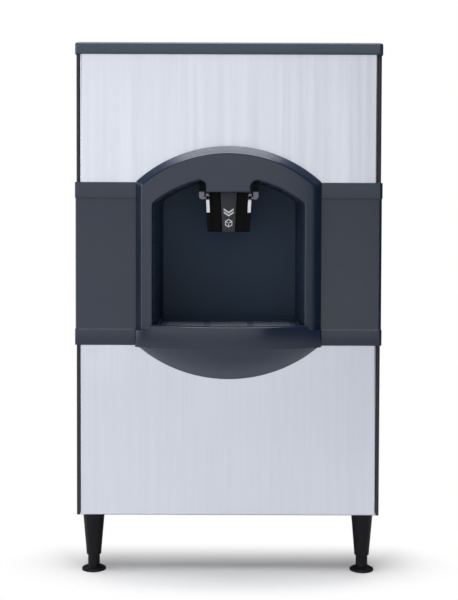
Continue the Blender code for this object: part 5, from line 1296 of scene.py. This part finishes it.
class Legs(bpy.types.Operator):
    """Turn the four tapered legs and their screw feet"""
    bl_idname = "ice_dispenser.legs"
    bl_label = "Legs and feet"

    def execute(self, context):
        rim = context.scene.dispenser_cabinet.foot_rim
        black = finish("leg")
        stem = 0.010
        bore = stem + GAP
        stud = 0.005
        for name in LEGS:
            leg_low, leg_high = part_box("leg_" + name)
            foot_low, foot_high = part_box("foot_" + name)
            x, y, _ = middle("leg_" + name)
            wide = (leg_high.x - leg_low.x) / 2
            bottom = leg_low.z
            top = leg_high.z - 0.014
            disc = (foot_high.x - foot_low.x) / 2
            neck = bottom - GAP
            profile = [(bore, foot_high.z + 0.0005), (bore, bottom)]
            profile += rounded_path(
                [(0.012, bottom), (0.0185, bottom), (0.0193, bottom + 0.012),
                 (wide, top - 0.006), (wide, top)], (0.002, 0.003, 0.002), 4)[1:]
            profile += [(stud, top), (stud, top + 0.0135), (0.0045, leg_high.z)]
            pad = [(disc - 0.0012, 0), (disc, 0.0008), (disc, rim - 0.0015), (disc - 0.0015, rim)]
            pad += rounded_path([(disc - 0.002, rim), (0.018, rim + 0.006), (0.015, rim + 0.007),
                                 (0.015, neck)], (0.003, 0.002), 4)
            pad += [(stem, neck), (stem, foot_high.z)]
            for kind, outline, body in (("leg", profile, "cabinet"), ("foot", pad, "foot_" + name)):
                piece = turned(kind + "_turned_" + name, outline, (x, y - FACE, 0), black,
                               segments=64, smooth=40)
                settle(piece, body, "leg_black", kind + "_" + name)
        return {"FINISHED"}


# Back

def screw_head(bm, x, y, z, radius=0.0045):
    """Round pan head with a cross recess, facing back."""
    count = 24
    profile = [(0.0002, [1] * count), (0.0008, [1] * count), (0.0019, [0.8] * count),
               (0.0023, [0.42] * count),
               (0.0012, [0.34 if index % 6 in (0, 1, 5) else 0.12 for index in range(count)])]
    add_loft(bm, [[(x + radius * share * across, y + rise, z + radius * share * up)
                   for share, (across, up) in zip(shares, circle(1, count))]
                  for rise, shares in profile])


class BackDetails(bpy.types.Operator):
    """Add louvre hoods and screws to the back panel"""
    bl_idname = "ice_dispenser.back_details"
    bl_label = "Back details"

    def execute(self, context):
        skin = aft("back_panel")
        bottom = low("back_panel").z
        lift = 0.0001
        first_louvre, louvre_pitch = 0.3338, 0.016
        hoods = bmesh.new()
        for index in range(6):
            z = first_louvre + index * louvre_pitch - lift
            add_loft(hoods, [[(x, skin + lift, z + 0.0135), (x, skin + reach * 0.75, z + 0.0105),
                              (x, skin + reach, z + 0.0065),
                              (x, skin + reach - 0.0007, z + 0.0062), (x, skin + lift, z + 0.0105)]
                             for x, reach in ((0.079, 0.0008), (0.084, 0.0032), (0.092, 0.0040),
                                              (0.248, 0.0040), (0.256, 0.0032), (0.261, 0.0008))])
        settle(finish_mesh("louvre_hoods", hoods, finish("galvanised")), "cabinet", "galvanised")
        half = high("back_panel").x - 0.012
        spots = [(x, z) for z in spread(bottom + 0.030, high("back_panel").z - 0.040, 5)
                 for x in (-half, half)]
        spots += [(x, bottom + 0.014) for x in spread(-0.24, 0.24, 2)]
        heads = bmesh.new()
        for x, z in spots:
            screw_head(heads, x, skin, z)
        settle(finish_mesh("back_screws", heads, finish("steel")), "cabinet", "satin_steel")
        return {"FINISHED"}


class InnerFinishes(bpy.types.Operator):
    """Give every solid that still shows its real finish"""
    bl_idname = "ice_dispenser.inner_finishes"
    bl_label = "Inner finishes"

    def execute(self, context):
        finish_names = {"charcoal": "moulding", "chute_black": "chute", "label_grey": "label",
                        "satin_steel": "steel", "leg_black": "leg", "board_green": "board"}
        slots = {part["node"]: part["material_slot"] for part in frame["record"]["subparts"]}
        for name, solid in frame["nodes"].items():
            if not solid.hide_render:
                for holder in solid.material_slots:
                    holder.material = finish(finish_names.get(slots[name], slots[name]))
        return {"FINISHED"}


# Stage

# Name, size, place and target of each light. Its power is in StageSizes under the same name.
LIGHTS = (
    ("top_light", (2.6, 2.0), (-0.1, -1.05, 3.4), (-0.1, -0.75, 0)),
    ("back_light", (4.2, 2.4), (-0.3, 1.7, 3.6), (0, 0.6, 0)),
    ("front_light", (8.8, 3.2), (-1.8, -5.0, 1.60), (-0.4, 0, 0.9)),
    ("left_light", (2.4, 2.4), (-3.6, -0.2, 1.4), (0, -0.2, 0.9)),
)
WHITE = (1, 1, 1, 1)
PICTURE_HEIGHT = 600  # pixels; the camera's shifts are counted in them


def softbox(name, power, size, spot, target):
    """Large even light aimed at a point."""
    data = bpy.data.lights.new(name, "AREA")
    data.shape = "RECTANGLE"
    data.size, data.size_y = size
    data.energy = power
    lamp = bpy.data.objects.new(name, data)
    lamp.location = spot
    lamp.rotation_euler = (Vector(target) - Vector(spot)).to_track_quat("-Z", "Y").to_euler()
    bpy.context.scene.collection.objects.link(lamp)


class Stage(bpy.types.Operator):
    """Set up the floor, soft lights, white surroundings and camera"""
    bl_idname = "ice_dispenser.stage"
    bl_label = "Stage"

    def floor(self):
        bm = bmesh.new()
        made = [[bm.verts.new((x, y, 0)) for x, y in circle(radius, 64)]
                for radius in (0.5, 1.5, 3.0, 6.0)]
        for first, second in zip(made, made[1:]):
            bridge(bm, first, second)
        bm.faces.new(made[0])
        finish_mesh("floor", bm, self.floor_paint())

    def floor_paint(self):
        """Pale floor that the camera sees partly as a painted white glow, which hides the cabinet's
        shadow behind and away from the feet and lightens the shadow kept between them.
        """
        paint = bpy.data.materials.new("studio_floor")
        tree = Tree(paint)
        pale = tree.nodes["Principled BSDF"]
        tree.feed(pale, {"Base Color": (0.83, 0.83, 0.84, 1), "Roughness": 0.9,
                         "Specular IOR Level": 0.1})
        place = tree.add("TexCoord", output="Object")
        depth = tree.add("SeparateXYZ", {"Vector": place}, "Y")
        narrowed = tree.add("VectorMath", {0: place, 1: (0.5, 1, 1)}, "Vector",
                            operation="MULTIPLY")
        apart = tree.add("VectorMath", {0: narrowed, 1: (0, -0.2, 0)}, "Value",
                         operation="DISTANCE")
        # Painted light: the share of white glow that the camera sees, at least 0.18, rising to all
        # glow behind the feet and away from them.
        painted_glow_fades = [tree.add("MapRange", {"Value": source, "From Min": start, "From Max": end,
                                       "To Min": least}, "Result", interpolation_type="SMOOTHSTEP")
                 for source, start, end, least in ((depth, -0.22, 0.01, 0.18),
                                                   (apart, 0.14, 0.31, 0))]
        share = tree.add("Math", dict(enumerate(painted_glow_fades)), "Value", operation="MAXIMUM")
        seen = tree.add("LightPath", output="Is Camera Ray")
        share = tree.add("Math", {0: share, 1: seen}, "Value", operation="MULTIPLY")
        white = tree.add("Emission", {"Color": WHITE}, "Emission")
        tree.blend_out(share, pale.outputs["BSDF"], white, "Material Output")
        return paint

    def surroundings(self):
        """Dim world that the camera sees as white."""
        world = bpy.data.worlds.new("studio")
        bpy.context.scene.world = world
        tree = Tree(world)
        dim = tree.nodes["Background"]
        tree.feed(dim, {"Color": (0.05, 0.05, 0.053, 1)})
        white = tree.add("Background", {"Color": WHITE}, "Background")
        seen = tree.add("LightPath", output="Is Camera Ray")
        tree.blend_out(seen, dim.outputs["Background"], white, "World Output")

    def camera(self, stage):
        data = bpy.data.cameras.new("front_view")
        data.sensor_width = 36
        data.lens = stage.lens
        data.shift_x = -9.3 / PICTURE_HEIGHT
        data.shift_y = -47.2 / PICTURE_HEIGHT
        view = bpy.data.objects.new("front_view", data)
        view.location = (stage.camera_side, FACE - stage.camera_distance, stage.camera_height)
        view.rotation_euler = (math.radians(90) - stage.camera_pitch, -stage.camera_roll, 0)
        bpy.context.scene.collection.objects.link(view)
        bpy.context.scene.camera = view

    def execute(self, context):
        stage = context.scene.dispenser_stage
        self.floor()
        self.surroundings()
        for name, size, spot, target in LIGHTS:
            softbox(name, getattr(stage, name), size, spot, target)
        self.camera(stage)
        context.scene.view_settings.view_transform = "Standard"
        return {"FINISHED"}


STEPS = (FrontPanels, SidePanels, TopTrim, Bands, Bezel, Alcove, Sink, DripGrille, Chute, PushSign,
         Legs, BackDetails, InnerFinishes, Stage)


class DispenserPanel(bpy.types.Panel):
    """Lists the steps that make the dispenser"""
    bl_idname = "VIEW3D_PT_ice_dispenser"
    bl_label = "Ice dispenser"
    bl_space_type = "VIEW_3D"
    bl_region_type = "UI"
    bl_category = "Ice dispenser"

    def draw(self, context):
        for step in STEPS:
            self.layout.operator(step.bl_idname)


GROUPS = {
    "dispenser_cabinet": CabinetSizes,
    "dispenser_mouldings": MouldingSizes,
    "dispenser_colours": FinishColours,
    "dispenser_stage": StageSizes,
}


def register():
    for name, group in GROUPS.items():
        bpy.utils.register_class(group)
        setattr(bpy.types.Scene, name, PointerProperty(type=group))
    for step in (*STEPS, DispenserPanel):
        bpy.utils.register_class(step)


def unregister():
    for step in reversed((*STEPS, DispenserPanel)):
        bpy.utils.unregister_class(step)
    for name, group in GROUPS.items():
        delattr(bpy.types.Scene, name)
        bpy.utils.unregister_class(group)


def main():
    register()
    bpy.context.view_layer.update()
    for step in STEPS:
        family, name = step.bl_idname.split(".")
        getattr(getattr(bpy.ops, family), name)()


if __name__ == "__main__":
    main()
